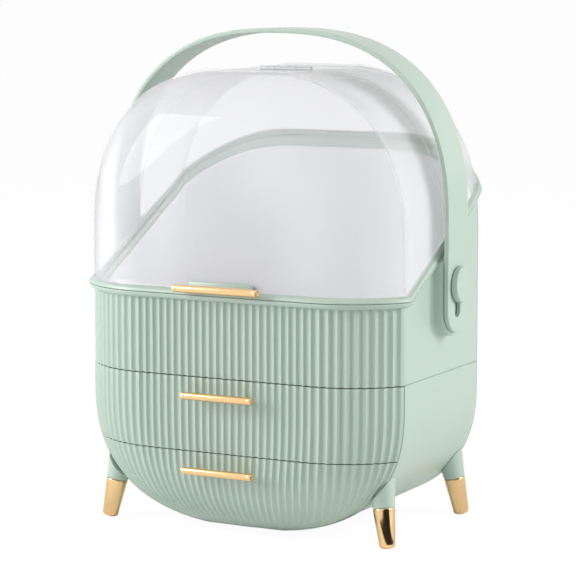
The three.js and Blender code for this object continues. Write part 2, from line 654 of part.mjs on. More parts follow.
function rearCanopy() {
  const half = HOOD_KNUCKLE / 2 + FIT;
  const far = half + SIDE_KNUCKLE;
  const top = UPPER_CENTRE + UPPER_RISE;
  const inside = WALL + FIT;
  const seat = shellBetween(0, inside + SKIRT_WALL, RIM_FRONT, top)
    .intersect(rimBand(FIT, FIT + SKIRT_WALL));
  const skirt = shellBetween(inside, inside + SKIRT_WALL, RIM_FRONT, top)
    .intersect(rimBand(-SKIRT_DEPTH, FIT + SKIRT_WALL));
  return coverSkin()
    .add(seat)
    .add(skirt)
    .intersect(behind(hinge.y + COVER_SEAM_GAP / 2))
    .add(knuckle(KNUCKLE_RADIUS, half, far))
    .add(knuckle(KNUCKLE_RADIUS, -far, -half))
    .subtract(knuckle(KNUCKLE_RADIUS + RUN, -half, half))
    .subtract(knuckle(PIN_BORE, -far - OVERRUN, far + OVERRUN));
}

// Green bead round the foot of the cover
function coverBead(part) {
  return shellBetween(-BEAD_PROUD, -FIT, RIM_FRONT, UPPER_CENTRE + UPPER_RISE)
    .intersect(rimBand(FIT, FIT + BEAD_HEIGHT))
    .intersect(part);
}

function hoodFrame() {
  const low = RIM_FRONT + FIT;
  const tab = block(
    -TAB_WIDTH / 2, TAB_WIDTH / 2, -TAB_FACE, -HALF_DEPTH - FIT,
    low + BEAD_HEIGHT / 2, low + BEAD_HEIGHT + TAB_HEIGHT,
  );
  let frame = coverBead(inFront(hinge.y - COVER_SEAM_GAP / 2)).add(tab);
  for (const x of [-coverPost, coverPost])
    frame = frame.subtract(alongY(screwHole(0, 2 * HALF_DEPTH), x, COVER_BAR_HEIGHT));
  return frame;
}

// Carry handle: a flat strap bent into an arch, with a round end and a slot at each side
function archLine(half, rise) {
  const line = [];
  for (let i = 0; i <= HANDLE_STEPS; i++) {
    const turn = ((Math.PI / 2) * i) / HANDLE_STEPS;
    const x = half * Math.cos(turn) ** (2 / ROUNDNESS);
    line.push([x, HANDLE_SPRING + rise * Math.sin(turn) ** (2 / ROUNDNESS)]);
  }
  const right = [[half, STRAP_END], ...line];
  return [...right, ...right.slice(0, -1).map(([x, z]) => [-x, z]).reverse()];
}

// Outline in [y, z] of a strip with round ends between two heights
function slotOutline(radius, low, high) {
  const halfRound = (start, centre) => {
    const points = [];
    for (let k = 0; k <= ROUND_SIDES; k++) {
      const angle = start + (Math.PI * k) / ROUND_SIDES;
      points.push([radius * Math.cos(angle), centre + radius * Math.sin(angle)]);
    }
    return points;
  };
  return [...halfRound(0, high - radius), ...halfRound(Math.PI, low + radius)];
}

function carryHandle() {
  const outer = archLine(HANDLE_HALF, HANDLE_RISE);
  const inner = archLine(STRAP_INNER, HANDLE_RISE - STRAP_THICKNESS).reverse();
  const half = STRAP_WIDTH / 2;
  const slotHalf = PIVOT_RADIUS + RUN;
  const ends = sidePrism(slotOutline(half, STRAP_END, 2 * TALL), -REACH_X, REACH_X);
  const slot = sidePrism(slotOutline(slotHalf, SLOT_END, PIVOT_HEIGHT + slotHalf), -REACH_X, REACH_X);
  return frontPrism([...outer, ...inner], -half, half).intersect(ends).subtract(slot);
}

function pivotButton() {
  const end = HALF_WIDTH - WALL + FIT;
  const head = HANDLE_HALF + FIT;
  const face = head + BUTTON_THICKNESS;
  return turned(
    [[0, end], [PIVOT_RADIUS, end], [PIVOT_RADIUS, head], [BUTTON_RADIUS, head],
      [BUTTON_RADIUS, face - BUTTON_ROUND], [BUTTON_RADIUS - BUTTON_ROUND / 3, face - BUTTON_ROUND / 3],
      [BUTTON_RADIUS - BUTTON_ROUND, face], [0, face]],
    FINE_SIDES,
  );
}

function pivotClip() {
  const from = HALF_WIDTH - WALL + FIT;
  const to = from + CLIP_THICKNESS;
  return disc(CLIP_RADIUS, from, to, ROUND_SIDES)
    .subtract(disc(PIVOT_RADIUS + FIT, from - OVERRUN, to + OVERRUN, ROUND_SIDES));
}

// Legs: cones that lean outwards, cut to the belly, each in a gold tip with a flat foot
function legs() {
  const screwX = FOOT_X - LEAN_X * bellyHeight(FOOT_X - LEAN_X * LEG_LENGTH);
  const height = bellyHeight(screwX + SCREW_HEAD_RADIUS);
  const screwY = FOOT_Y - LEAN_Y * height;
  const list = [];
  for (const [end, sy] of Object.entries(ENDS))
    for (const [side, sx] of Object.entries(SIDES))
      list.push({ name: `${end}_${side}`, sx, sy, x: sx * screwX, y: sy * screwY, seat: height + FIT });
  return list;
}

function placeLeg(solid, leg) {
  const axis = new THREE.Vector3(-leg.sx * LEAN_X, -leg.sy * LEAN_Y, 1).normalize();
  const turn = new THREE.Quaternion().setFromUnitVectors(new THREE.Vector3(0, 0, 1), axis);
  const place = new THREE.Matrix4().compose(
    new THREE.Vector3(leg.sx * FOOT_X, leg.sy * FOOT_Y, 0), turn, new THREE.Vector3(1, 1, 1),
  );
  return solid.transform(place.elements);
}

function legSolid(leg) {
  const spigotEnd = TIP_LENGTH - SPIGOT_DEPTH;
  const shoulder = TIP_LENGTH + FIT;
  const cone = turned(
    [[0, spigotEnd], [SPIGOT_RADIUS, spigotEnd], [SPIGOT_RADIUS, shoulder],
      [TIP_RADIUS, shoulder], [LEG_RADIUS, LEG_LENGTH], [0, LEG_LENGTH]],
    ROUND_SIDES,
  );
  return placeLeg(cone, leg)
    .subtract(outlinePrism(FIT + TRIM_PROUD, -2 * HALF_DEPTH, TRIM_WIDTH - CREASE_Y))
    .subtract(outlinePrism(FIT, -2 * HALF_DEPTH, 2 * HALF_DEPTH))
    .subtract(screwHole(leg.seat - SCREW_GRIP * 2, TALL).translate([leg.x, leg.y, 0]));
}

function legTip(leg) {
  const below = -FOOT_RADIUS / 2;
  const draft = (TIP_RADIUS - FOOT_RADIUS) / TIP_LENGTH;
  const outside = turned(
    [[0, below], [FOOT_RADIUS - FOOT_ROUND, below], [FOOT_RADIUS - FOOT_ROUND, 0],
      [FOOT_RADIUS, FOOT_ROUND], [TIP_RADIUS - draft * FIT, TIP_LENGTH], [0, TIP_LENGTH]],
    ROUND_SIDES,
  );
  const bore = disc(SPIGOT_RADIUS + FIT, TIP_LENGTH - SPIGOT_DEPTH - FIT, LEG_LENGTH, ROUND_SIDES);
  return placeLeg(outside.subtract(bore), leg).intersect(block(-REACH_X, REACH_X, -TALL, TALL, 0, TALL));
}

function addPieces() {
  const lowerDrawer = [BELLY, LOWER_SEAM - SEAM / 2];
  const upperDrawer = [LOWER_SEAM + SEAM / 2, UPPER_SEAM - SEAM / 2];
  const lowTray = WALL + TRAY_SIDE_GAP;
  add("lower_shell", lowerShell(), COLOURS.sage);
  add("upper_shell", upperShell(), COLOURS.sage);
  add("drawer_shelf", drawerShelf(), COLOURS.sage);
  add("liner_tray", linerTray(), COLOURS.pale);
  addDrawer("lower", ...lowerDrawer, { inset: lowTray, from: BELLY + lowTray, to: LOWER_TRAY_TOP });
  addDrawer("upper", ...upperDrawer, {
    inset: WALL + RUN,
    from: LOWER_SEAM + SHELF_THICKNESS / 2 + RUN,
    to: UPPER_TRAY_TOP,
  });
  shellScrews.forEach(([x, y], i) =>
    add(`shell_screw_${i + 1}`,
      screwSolid(SCREW_GRIP).translate([x, y, FLOOR_TOP - SCREW_HEAD_HEIGHT]), COLOURS.steel));

  add("hood_shell", hoodShell(), COLOURS.clear);
  add("hood_frame", hoodFrame(), COLOURS.sage);
  const coverBar = barSolid(COVER_BAR_LENGTH, coverPost, TAB_FACE, COVER_BAR_STAND);
  add("hood_bar", coverBar.translate([0, 0, COVER_BAR_HEIGHT]), COLOURS.gold);
  for (const [side, sign] of Object.entries(SIDES))
    add(`hood_bar_screw_${side}`,
      barScrew(sign * coverPost, COVER_BAR_HEIGHT, COVER_SCREW_SEAT, TAB_FACE), COLOURS.steel);
  add("rear_canopy", rearCanopy(), COLOURS.clear);
  add("canopy_frame", coverBead(behind(hinge.y + COVER_SEAM_GAP / 2)), COLOURS.sage);
  const pinHalf = HOOD_KNUCKLE / 2 + FIT + SIDE_KNUCKLE;
  add("hinge_pin", knuckle(PIN_RADIUS, -pinHalf, pinHalf), COLOURS.steel);

  add("carry_handle", carryHandle(), COLOURS.sage);
  for (const [side, sign] of Object.entries(SIDES)) {
    const place = (solid) => {
      const right = alongX(solid, 0, PIVOT_HEIGHT);
      return sign > 0 ? right : right.mirror([1, 0, 0]);
    };
    add(`pivot_button_${side}`, place(pivotButton()), COLOURS.sage);
    add(`pivot_clip_${side}`, place(pivotClip()), COLOURS.steel);
  }

  for (const leg of legs()) {
    add(`leg_${leg.name}`, legSolid(leg), COLOURS.sage);
    add(`leg_tip_${leg.name}`, legTip(leg), COLOURS.gold);
    add(`leg_screw_${leg.name}`,
      screwSolid(SCREW_GRIP * 2).translate([leg.x, leg.y, leg.seat + FIT]), COLOURS.steel);
  }
}
addPieces();

// The group's origin is on the ground, under the middle of the whole object.
const frontReach = TAB_FACE + COVER_BAR_STAND + BAR_RADIUS;
const backReach = HALF_DEPTH + BEAD_PROUD;
organizer.position.y = (frontReach - backReach) / 2;

export default organizer;
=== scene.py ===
"""Looks of the dustproof makeup organizer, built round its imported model.

Metres, +Z up, the front faces -Y. All shells follow one skin: from the front a superellipse with straight
sides, from above a flat front and back that run in arcs to a crease at each side. The right half of a shell
is worked out as arrays and mirrored.
"""

import json

import bmesh
import bpy
import numpy as np
from bpy.props import FloatProperty, FloatVectorProperty, IntProperty, PointerProperty
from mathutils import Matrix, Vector


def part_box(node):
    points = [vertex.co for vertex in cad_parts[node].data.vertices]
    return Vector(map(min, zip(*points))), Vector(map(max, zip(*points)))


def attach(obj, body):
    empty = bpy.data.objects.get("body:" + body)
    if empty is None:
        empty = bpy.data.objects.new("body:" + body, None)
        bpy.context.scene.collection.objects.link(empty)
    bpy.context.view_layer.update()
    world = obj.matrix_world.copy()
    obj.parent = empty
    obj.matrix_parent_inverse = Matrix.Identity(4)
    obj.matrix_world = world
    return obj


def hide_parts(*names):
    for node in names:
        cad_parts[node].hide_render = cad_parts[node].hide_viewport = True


bl_info = {
    "name": "Makeup organizer",
    "version": (1, 0, 0),
    "blender": (4, 5, 0),
    "location": "View3D > Sidebar > Organizer",
    "description": "Builds the looks of a fluted makeup organizer with a clear cover",
    "category": "Add Mesh",
}

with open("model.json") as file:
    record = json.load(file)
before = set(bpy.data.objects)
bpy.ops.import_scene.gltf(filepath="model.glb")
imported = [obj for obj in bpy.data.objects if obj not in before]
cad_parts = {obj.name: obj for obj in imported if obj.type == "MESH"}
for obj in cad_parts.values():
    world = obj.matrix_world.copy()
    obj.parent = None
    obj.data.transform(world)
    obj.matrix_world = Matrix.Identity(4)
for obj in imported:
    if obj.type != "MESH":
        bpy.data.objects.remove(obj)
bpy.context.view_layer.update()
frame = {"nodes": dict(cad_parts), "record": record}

PIN_LOW, PIN_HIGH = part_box("hinge_pin")
MID_Y = (PIN_LOW[1] + PIN_HIGH[1]) / 2
HINGE_Z = (PIN_LOW[2] + PIN_HIGH[2]) / 2

MM = 0.001
# Gaps between fitted parts and between parts that slide or turn, and how near points are welded
FIT = 0.3 * MM
RUNNING = 0.4 * MM
WELD = 0.01 * MM
# Angles in degrees above which edges look sharp, on most pieces and on fluted ones, and are rounded
CREASE = 32
FLUTE_CREASE = 60
BEVEL_FROM = 50
# Numbers of points along the parts of a half ring, and of corners round turned pieces
FACE_COLUMNS = 40
FLANK_COLUMNS = 24
TURNED_SIDES = {"barrel": 40, "rod": 56, "post": 32, "button": 72, "leg": 56}
SIDES = {"left": -1, "right": 1}
ENDS = {"front": -1, "rear": 1}


# Sizes and colours that a user would change


def as_length(name, description, millimetres):
    """Length whose default is given in millimetres."""
    return FloatProperty(name=name, description=description, default=millimetres * MM, unit="LENGTH")


def as_angle(name, description, degrees):
    """Angle whose default is given in degrees."""
    return FloatProperty(name=name, description=description, default=np.radians(degrees), subtype="ANGLE")


def as_number(name, description, default):
    """Share, exponent, slope or power."""
    return FloatProperty(name=name, description=description, default=default)


def as_count(name, description, default):
    """Whole number of things."""
    return IntProperty(name=name, description=description, default=default)


def as_colour(name, description, *default):
    """Colour from its red, green and blue."""
    return FloatVectorProperty(name=name, description=description, size=3, subtype="COLOR", default=default)


def as_place(name, description, *default):
    """Place from its X, Y and Z in metres."""
    return FloatVectorProperty(
        name=name, description=description, size=3, subtype="TRANSLATION", unit="LENGTH", default=default)


class BodySizes(bpy.types.PropertyGroup):
    """Outline, walls and seams of the body."""

    half_width: as_length("Half width", "From the middle to the crease at each side", 140)
    half_depth: as_length("Half depth", "From the middle to the flat face", 106.5)
    corner_span: as_length("Corner span", "Width of the arc at each end of the face", 63)
    crease_setback: as_length("Crease setback", "How far the arc falls back at the crease", 36)
    roundness: as_number("Roundness", "Exponent of the superellipse", 2.45)
    lower_centre: as_length("Lower centre", "Height where the straight sides begin", 110)
    curve_foot: as_length("Curve foot", "Height of the lower curve's lowest point", 3.5)
    upper_centre: as_length("Upper centre", "Height where the straight sides end", 235)
    upper_rise: as_length("Upper rise", "From there up to the curve's top", 135)
    flat_end: as_number("Flat end", "Flat share of the half width at belly and crown", 0.24)
    lower_seam: as_length("Lower seam", "Height of the seam between the drawers", 69)
    upper_seam: as_length("Upper seam", "Height of the seam under the upper shell", 129)
    seam: as_length("Seam", "Width of the open seams", 0.8)
    wall: as_length("Wall", "Thickness of the green shells", 3)
    sunk: as_length("Sunk", "How far trim, ledges and bead reach into the wall", 1.5)
    edge: as_length("Edge", "Rounding of moulded edges", 0.4)


class RimSizes(bpy.types.PropertyGroup):
    """Rim line of the upper shell and the beads on both sides of it."""

    front: as_length("Front", "Height of the rim in front", 194.5)
    level: as_length("Level", "Level stretch behind the front crease", 4.5)
    slope: as_number("Slope", "Rise of the rim along the sides", 0.536)
    rear_lift: as_length("Rear lift", "Extra height at the very back", 20)
    rear_run: as_length("Rear run", "Depth over which the rim steepens", 56.5)
    bead_height: as_length("Bead height", "Height of each bead", 4.4)
    bead_proud: as_length("Bead proud", "How far the beads stand out", 4.4)
    parting: as_length("Parting", "Softening of the edge where the two beads meet", 0.35)
    foot_share: as_number("Foot share", "Share of the bead's height that lies under the clear foot", 0.7)
    flare: as_length("Flare", "How far the clear foot turns outwards", 2.2)
    flare_height: as_length("Flare height", "Height of the clear foot's turn", 6)


class FluteSizes(bpy.types.PropertyGroup):
    """Upright hollow flutes of the front face."""

    on_flat: as_count("On the flat", "Flutes on each half of the flat middle", 12)
    on_corner: as_count("On the corner", "Flutes on each corner arc", 10)
    depth: as_length("Depth", "Depth of the flutes", 1.9)
    strip: as_length("Strip", "Smooth strip beside the crease", 3)
    land: as_number("Land", "Flat share of a flute's width at each side", 0.04)
    draw_in: as_number("Draw in", "Share of the narrowing that flutes follow", 0.45)
    crowding: as_number("Crowding", "How late the outer flutes crowd", 6)
    fade_start: as_number("Fade start", "Share of the fall to the belly where flutes begin to fade", 0.84)
    fade_stop: as_number("Fade stop", "Share of the fall to the belly where flutes end", 0.97)


class InsideSizes(bpy.types.PropertyGroup):
    """Trim, ledges and runners of the housing, the liner and the trays."""

    trim_width: as_length("Trim width", "Width of the trim round the drawer opening", 3)
    trim_proud: as_length("Trim proud", "How far the trim stands out", 0.7)
    ledge_drop: as_length("Ledge drop", "From the seam down to the ledge that carries the shelf", 1.55)
    ledge_height: as_length("Ledge height", "Height of the ledge", 2.7)
    ledge_reach: as_length("Ledge reach", "From the outside in to the ledge's edge", 9)
    flange_height: as_length("Flange height", "Height of the flange under the upper seam", 4.6)
    flange_reach: as_length("Flange reach", "From the outside in to the flange's edge", 12)
    runner_inset: as_length("Runner inset", "From the belly's flat end in to the runner's middle", 4.6)
    runner_half: as_length("Runner half", "Half width of a runner", 2.5)
    runner_short: as_length("Runner short", "How far a runner ends before the rear crease", 2)
    runner_height: as_length("Runner height", "Height of a runner", 4.6)
    liner_wall: as_length("Liner wall", "Thickness of the liner tray", 1.6)
    liner_edge: as_length("Liner edge", "Rounding of the liner's edges", 0.5)
    liner_top: as_length("Liner top", "Height where the liner's walls end level", 262)
    liner_drop: as_length("Liner drop", "From the rim down to the liner's edge", 5)
    liner_board: as_length("Liner board", "Half width of the arched board at the back", 140)
    lower_side: as_length("Lower side", "From the outside in to the lower tray's sides", 8)
    tray_wall: as_length("Tray wall", "Thickness of the drawer trays", 2)


class CoverSizes(bpy.types.PropertyGroup):
    """Clear cover, the hood's tab and the hinge's barrels."""

    wall: as_length("Wall", "Thickness of the clear wall", 2)
    edge: as_length("Edge", "Rounding of the clear wall's edges", 0.4)
    fold: as_length("Fold", "Radius of the fold along the crease", 1.4)
    tab_half: as_length("Tab half", "Half width of the hood's tab", 28)
    tab_depth: as_length("Tab depth", "Depth of the tab", 4.6)
    tab_height: as_length("Tab height", "How far the tab rises over the bead", 6.4)
    tab_edge: as_length("Tab edge", "Rounding of the tab", 1.2)
    barrel: as_length("Barrel", "Radius of the hinge's barrels", 2.1)
    bore: as_length("Bore", "Radius of the barrels' bore", 1.2)
    barrel_edge: as_length("Barrel edge", "Rounding of the barrels", 0.3)
    hood_barrel: as_length("Hood barrel", "Half length of the hood's barrel", 10)
    canopy_barrel: as_length("Canopy barrel", "Length of each of the canopy's barrels", 13)


class BarSizes(bpy.types.PropertyGroup):
    """Gold bars. Their radius and length come from the model."""

    cap: as_length("Cap", "Length of an end cap", 3.2)
    groove: as_length("Groove", "Depth of the groove behind a cap", 0.25)
    groove_width: as_length("Groove width", "Width of the groove behind a cap", 0.7)
    ring_inner: as_number("Ring inner", "Inner radius of the ring in each end, as a share", 0.45)
    ring_outer: as_number("Ring outer", "Outer radius of the ring in each end, as a share", 0.62)
    ring_depth: as_length("Ring depth", "Depth of the ring in each end", 0.6)
    edge: as_length("Edge", "Rounding of the rod's edges", 0.5)
    post_share: as_number("Post share", "Place of the posts as a share of half the length", 0.7)
    post: as_length("Post", "Radius of a post", 1.6)
    post_edge: as_length("Post edge", "Rounding and slope of a post's edges", 0.3)
    collar: as_length("Collar", "Radius of a post's collar", 2)
    collar_height: as_length("Collar height", "Height of a post's collar", 0.9)


class HandleSizes(bpy.types.PropertyGroup):
    """Carry handle, its bosses and pivot buttons."""

    stand: as_length("Stand", "From the crease to the strap's outside", 13.4)
    spring: as_length("Spring", "Height where the arch begins", 250)
    rise: as_length("Rise", "Rise of the arch", 151)
    width: as_length("Width", "Width of the strap", 38)
    thickness: as_length("Thickness", "Thickness of the strap", 3.7)
    edge: as_length("Edge", "Rounding of the strap's edges", 0.9)
    slot_half: as_length("Slot half", "Half width of the slot", 5)
    slot_run: as_length("Slot run", "Length of the slot between its end arcs' middles", 21.375)
    boss_half: as_length("Boss half", "Half width of the boss", 19.2)
    boss_foot: as_length("Boss foot", "Hollow rounding between wall and boss", 2.5)
    boss_edge: as_length("Boss edge", "Rounding of the boss's outer edge", 2.2)
    boss_tail: as_length("Boss tail", "From the pivot to the boss's lowest point", 41.5)
    boss_round: as_length("Boss round", "Height of the boss's round end", 21)
    stem: as_length("Stem", "Radius of the button's stem", 4.6)
    crown: as_length("Crown", "How far the button's face falls off at its edge", 0.2)
    face_share: as_number("Face share", "Flat share of the button's radius", 0.8)
    button_edge: as_length("Button edge", "Rounding of the button's edges", 1.5)


class LegSizes(bpy.types.PropertyGroup):
    """Splayed legs and their gold tips."""

    lean_side: as_number("Lean to the side", "Sideways run of a leg per rise", 0.17)
    lean_front: as_number("Lean to the front", "Run to the front or back per rise", 0.126)
    foot_inset: as_length("Foot inset", "From the side crease in to the foot's middle", 13)
    foot_out: as_length("Foot out", "From the face's crease out to the foot's middle", 1)
    toe: as_length("Toe", "Radius of the flat foot", 3.8)
    toe_round: as_length("Toe round", "How far the foot spreads above the ground", 2.5)
    toe_height: as_length("Toe height", "Height of the foot's spread", 1.5)
    tip: as_length("Tip", "Length of the gold tip", 31.5)
    tip_top: as_length("Tip top", "Largest radius of the tip", 8.75)
    tip_slope: as_length("Tip slope", "Height of the tip's sloped upper edge", 0.2)
    tip_lip: as_length("Tip lip", "Width of the tip's sloped upper edge", 0.45)
    tip_edge: as_length("Tip edge", "Rounding of the tip's edges", 1.6)
    socket: as_length("Socket", "Radius of the socket in the tip", 5.3)
    socket_depth: as_length("Socket depth", "Depth of the socket in the tip", 17)
    ankle: as_length("Ankle", "Radius of the green leg over its tip", 8.8)
    widening: as_number("Widening", "How much the leg's radius grows per length", 0.0935673)
    reach: as_length("Reach", "Length within which a leg meets the belly", 90)


class FinishColours(bpy.types.PropertyGroup):
    """Colours of the finishes, as they look under plain light."""

    sage: as_colour("Sage", "Green plastic", 0.44, 0.545, 0.465)
    pale: as_colour("Pale", "Liner plastic", 0.93, 0.93, 0.95)
    clear: as_colour("Clear", "Haze of the clear cover", 0.96, 0.96, 0.98)
    gold: as_colour("Gold", "Bars and leg tips", 0.95, 0.64, 0.33)
    steel: as_colour("Steel", "Screws, clips and pin", 0.55, 0.56, 0.58)


class StageSizes(bpy.types.PropertyGroup):
    """Camera, lamps, sky and floor."""

    azimuth: as_angle("Azimuth", "How far the camera stands to the right of the front", 27.685)
    elevation: as_angle("Elevation", "How far the camera looks down", 7.463)
    distance: as_length("Distance", "From the camera to the aim", 1978.5)
    aim_right: as_length("Aim right", "Aim to the right of the front's middle", 51)
    aim_up: as_length("Aim up", "Aim above the ground, square to the view", 199.68)
    lens: FloatProperty(
        name="Lens", description="Focal length on a 36 mm sensor", default=156.33, unit="CAMERA")
    key: as_number("Key", "Power of the right lamp in watts", 33)
    key_size: as_length("Key size", "Side of the right lamp", 1200)
    key_place: as_place("Key place", "Place of the right lamp", 2.05, 0.45, 1.1)
    fill: as_number("Fill", "Power of the left lamp in watts", 50)
    fill_size: as_length("Fill size", "Side of the left lamp", 1400)
    fill_place: as_place("Fill place", "Place of the left lamp", -1.85, -1.4, 1.05)
    lamp_aim: as_length("Lamp aim", "Height of the point that the lamps face", 200)
    sky: as_number("Sky", "Strength of the soft light from all sides", 0.5)
    flag: as_number("Flag", "How dark the dark field is in gloss", 0.97)
    field_turn: as_angle("Field turn", "From the camera's side to the dark field's middle", 20)
    field_edge: as_number("Field edge", "Cosine of the angle where the dark field is half dark", 0.86)
    field_soft: as_number("Field soft", "Half of the dark field's soft edge, in the same cosine", 0.015)
    field_start: as_length("Field start", "How far out the floor's gloss shows the dark field", 172.5)
    field_start_soft: as_length("Field start soft", "Half of the soft stretch of that start", 7.5)
    floor_colour: as_colour("Floor colour", "Lit floor", 0.93, 0.93, 0.94)
    floor_white: as_number("Floor white", "How much of the floor's look is plain white", 0.93)
    floor_glow: as_number("Floor glow", "Strength of the floor's plain white", 1.02)
    floor_half: as_length("Floor half", "Half of the floor's side", 30000)
    floor_depth: as_length("Floor depth", "Thickness of the floor", 10)


# Meshes from arrays


def quads(rows, columns, wrap_rows=False, wrap_columns=False):
    """Quads of a grid whose points are numbered row by row. A wrapped side joins its last line to its
    first."""
    row = np.arange(rows if wrap_rows else rows - 1)[:, None]
    column = np.arange(columns if wrap_columns else columns - 1)[None, :]
    above, right = (row + 1) % rows, (column + 1) % columns
    corners = [(row, column), (row, right), (above, right), (above, column)]
    numbers = [line * columns + place for line, place in corners]
    return np.stack(np.broadcast_arrays(*numbers), axis=-1).reshape(-1, 4)


def patch(points, wrap_rows=False, wrap_columns=False):
    """A grid of points of shape (rows, columns, 3) with its quads."""
    rows, columns, _ = points.shape
    return points.reshape(-1, 3), quads(rows, columns, wrap_rows, wrap_columns)


def mirrored(patches):
    """The patches and their mirror images across the middle plane."""
    flip = np.array([-1, 1, 1])
    return [*patches, *((points * flip, faces[:, ::-1]) for points, faces in patches)]


def end_cap(ring):
    """Fan that closes a ring of points: each edge of the ring joined to the ring's middle."""
    middle = ring.mean(axis=0)
    return patch(np.stack([ring, np.broadcast_to(middle, ring.shape)]), wrap_columns=True)


def piece(name, patches, finish, edge=0.0, crease=CREASE):
    """One closed mesh object from welded patches. Edges over `crease` degrees look sharp. Those over
    `BEVEL_FROM` degrees, or over `crease` if that is more, are rounded by `edge`."""
    mesh = bpy.data.meshes.new(name)
    starts = np.cumsum([0] + [len(points) for points, _ in patches])
    points = np.concatenate([points for points, _ in patches])
    faces = np.concatenate([faces + start for (_, faces), start in zip(patches, starts)])
    mesh.from_pydata(points, [], faces)
    work = bmesh.new()
    work.from_mesh(mesh)
    bmesh.ops.remove_doubles(work, verts=work.verts, dist=WELD)
    bmesh.ops.dissolve_degenerate(work, edges=work.edges, dist=WELD)
    bmesh.ops.recalc_face_normals(work, faces=work.faces)
    work.to_mesh(mesh)
    work.free()
    made = bpy.data.objects.new(name, mesh)
    bpy.context.scene.collection.objects.link(made)
    if edge:
        rounding = made.modifiers.new("edge", "BEVEL")
        rounding.width = edge
        rounding.segments = 2
        rounding.limit_method = "ANGLE"
        rounding.angle_limit = np.radians(max(BEVEL_FROM, crease))
        made.data = bpy.data.meshes.new_from_object(made.evaluated_get(bpy.context.evaluated_depsgraph_get()))
        made.data.name = name
        made.modifiers.clear()
        bpy.data.meshes.remove(mesh)
    made.data.shade_smooth()
    made.data.set_sharp_from_angle(angle=np.radians(crease))
    made.data.materials.clear()
    made.data.materials.append(finish)
    return made


def lathe(profile, sides):
    """Profile of (radius, place along Z) turned round Z: X and Y are the radius times cosine and sine."""
    turn = np.linspace(0, 2 * np.pi, sides, endpoint=False)
    radius, along = np.array(profile).T
    points = radius[:, None] * np.cos(turn), radius[:, None] * np.sin(turn), along[:, None]
    return patch(np.stack(np.broadcast_arrays(*points), axis=-1), wrap_columns=True)


def rounded_profile(corners, radius, steps=5):
    """Profile whose inner corners are replaced by parabolas that start and end `radius` from them, or halfway
    along a shorter side."""
    corners = np.array(corners, dtype=float)
    line = [corners[0]]
    share = np.linspace(0, 1, steps)[:, None]
    for before, corner, after in zip(corners, corners[1:], corners[2:]):
        start = corner + (before - corner) * min(0.5, radius / np.linalg.norm(before - corner))
        stop = corner + (after - corner) * min(0.5, radius / np.linalg.norm(after - corner))
        line.extend((1 - share) ** 2 * start + 2 * share * (1 - share) * corner + share ** 2 * stop)
    return np.array([*line, corners[-1]])


def moved(shape, along, across, place):
    """A patch with its Z axis laid along one direction and its X axis near another, then put in its place."""
    points, faces = shape
    z = np.array(along, dtype=float) / np.linalg.norm(along)
    y = np.cross(z, across)
    y /= np.linalg.norm(y)
    turn = np.stack([np.cross(y, z), y, z])
    return points @ turn + np.array(place), faces


# The body's skin


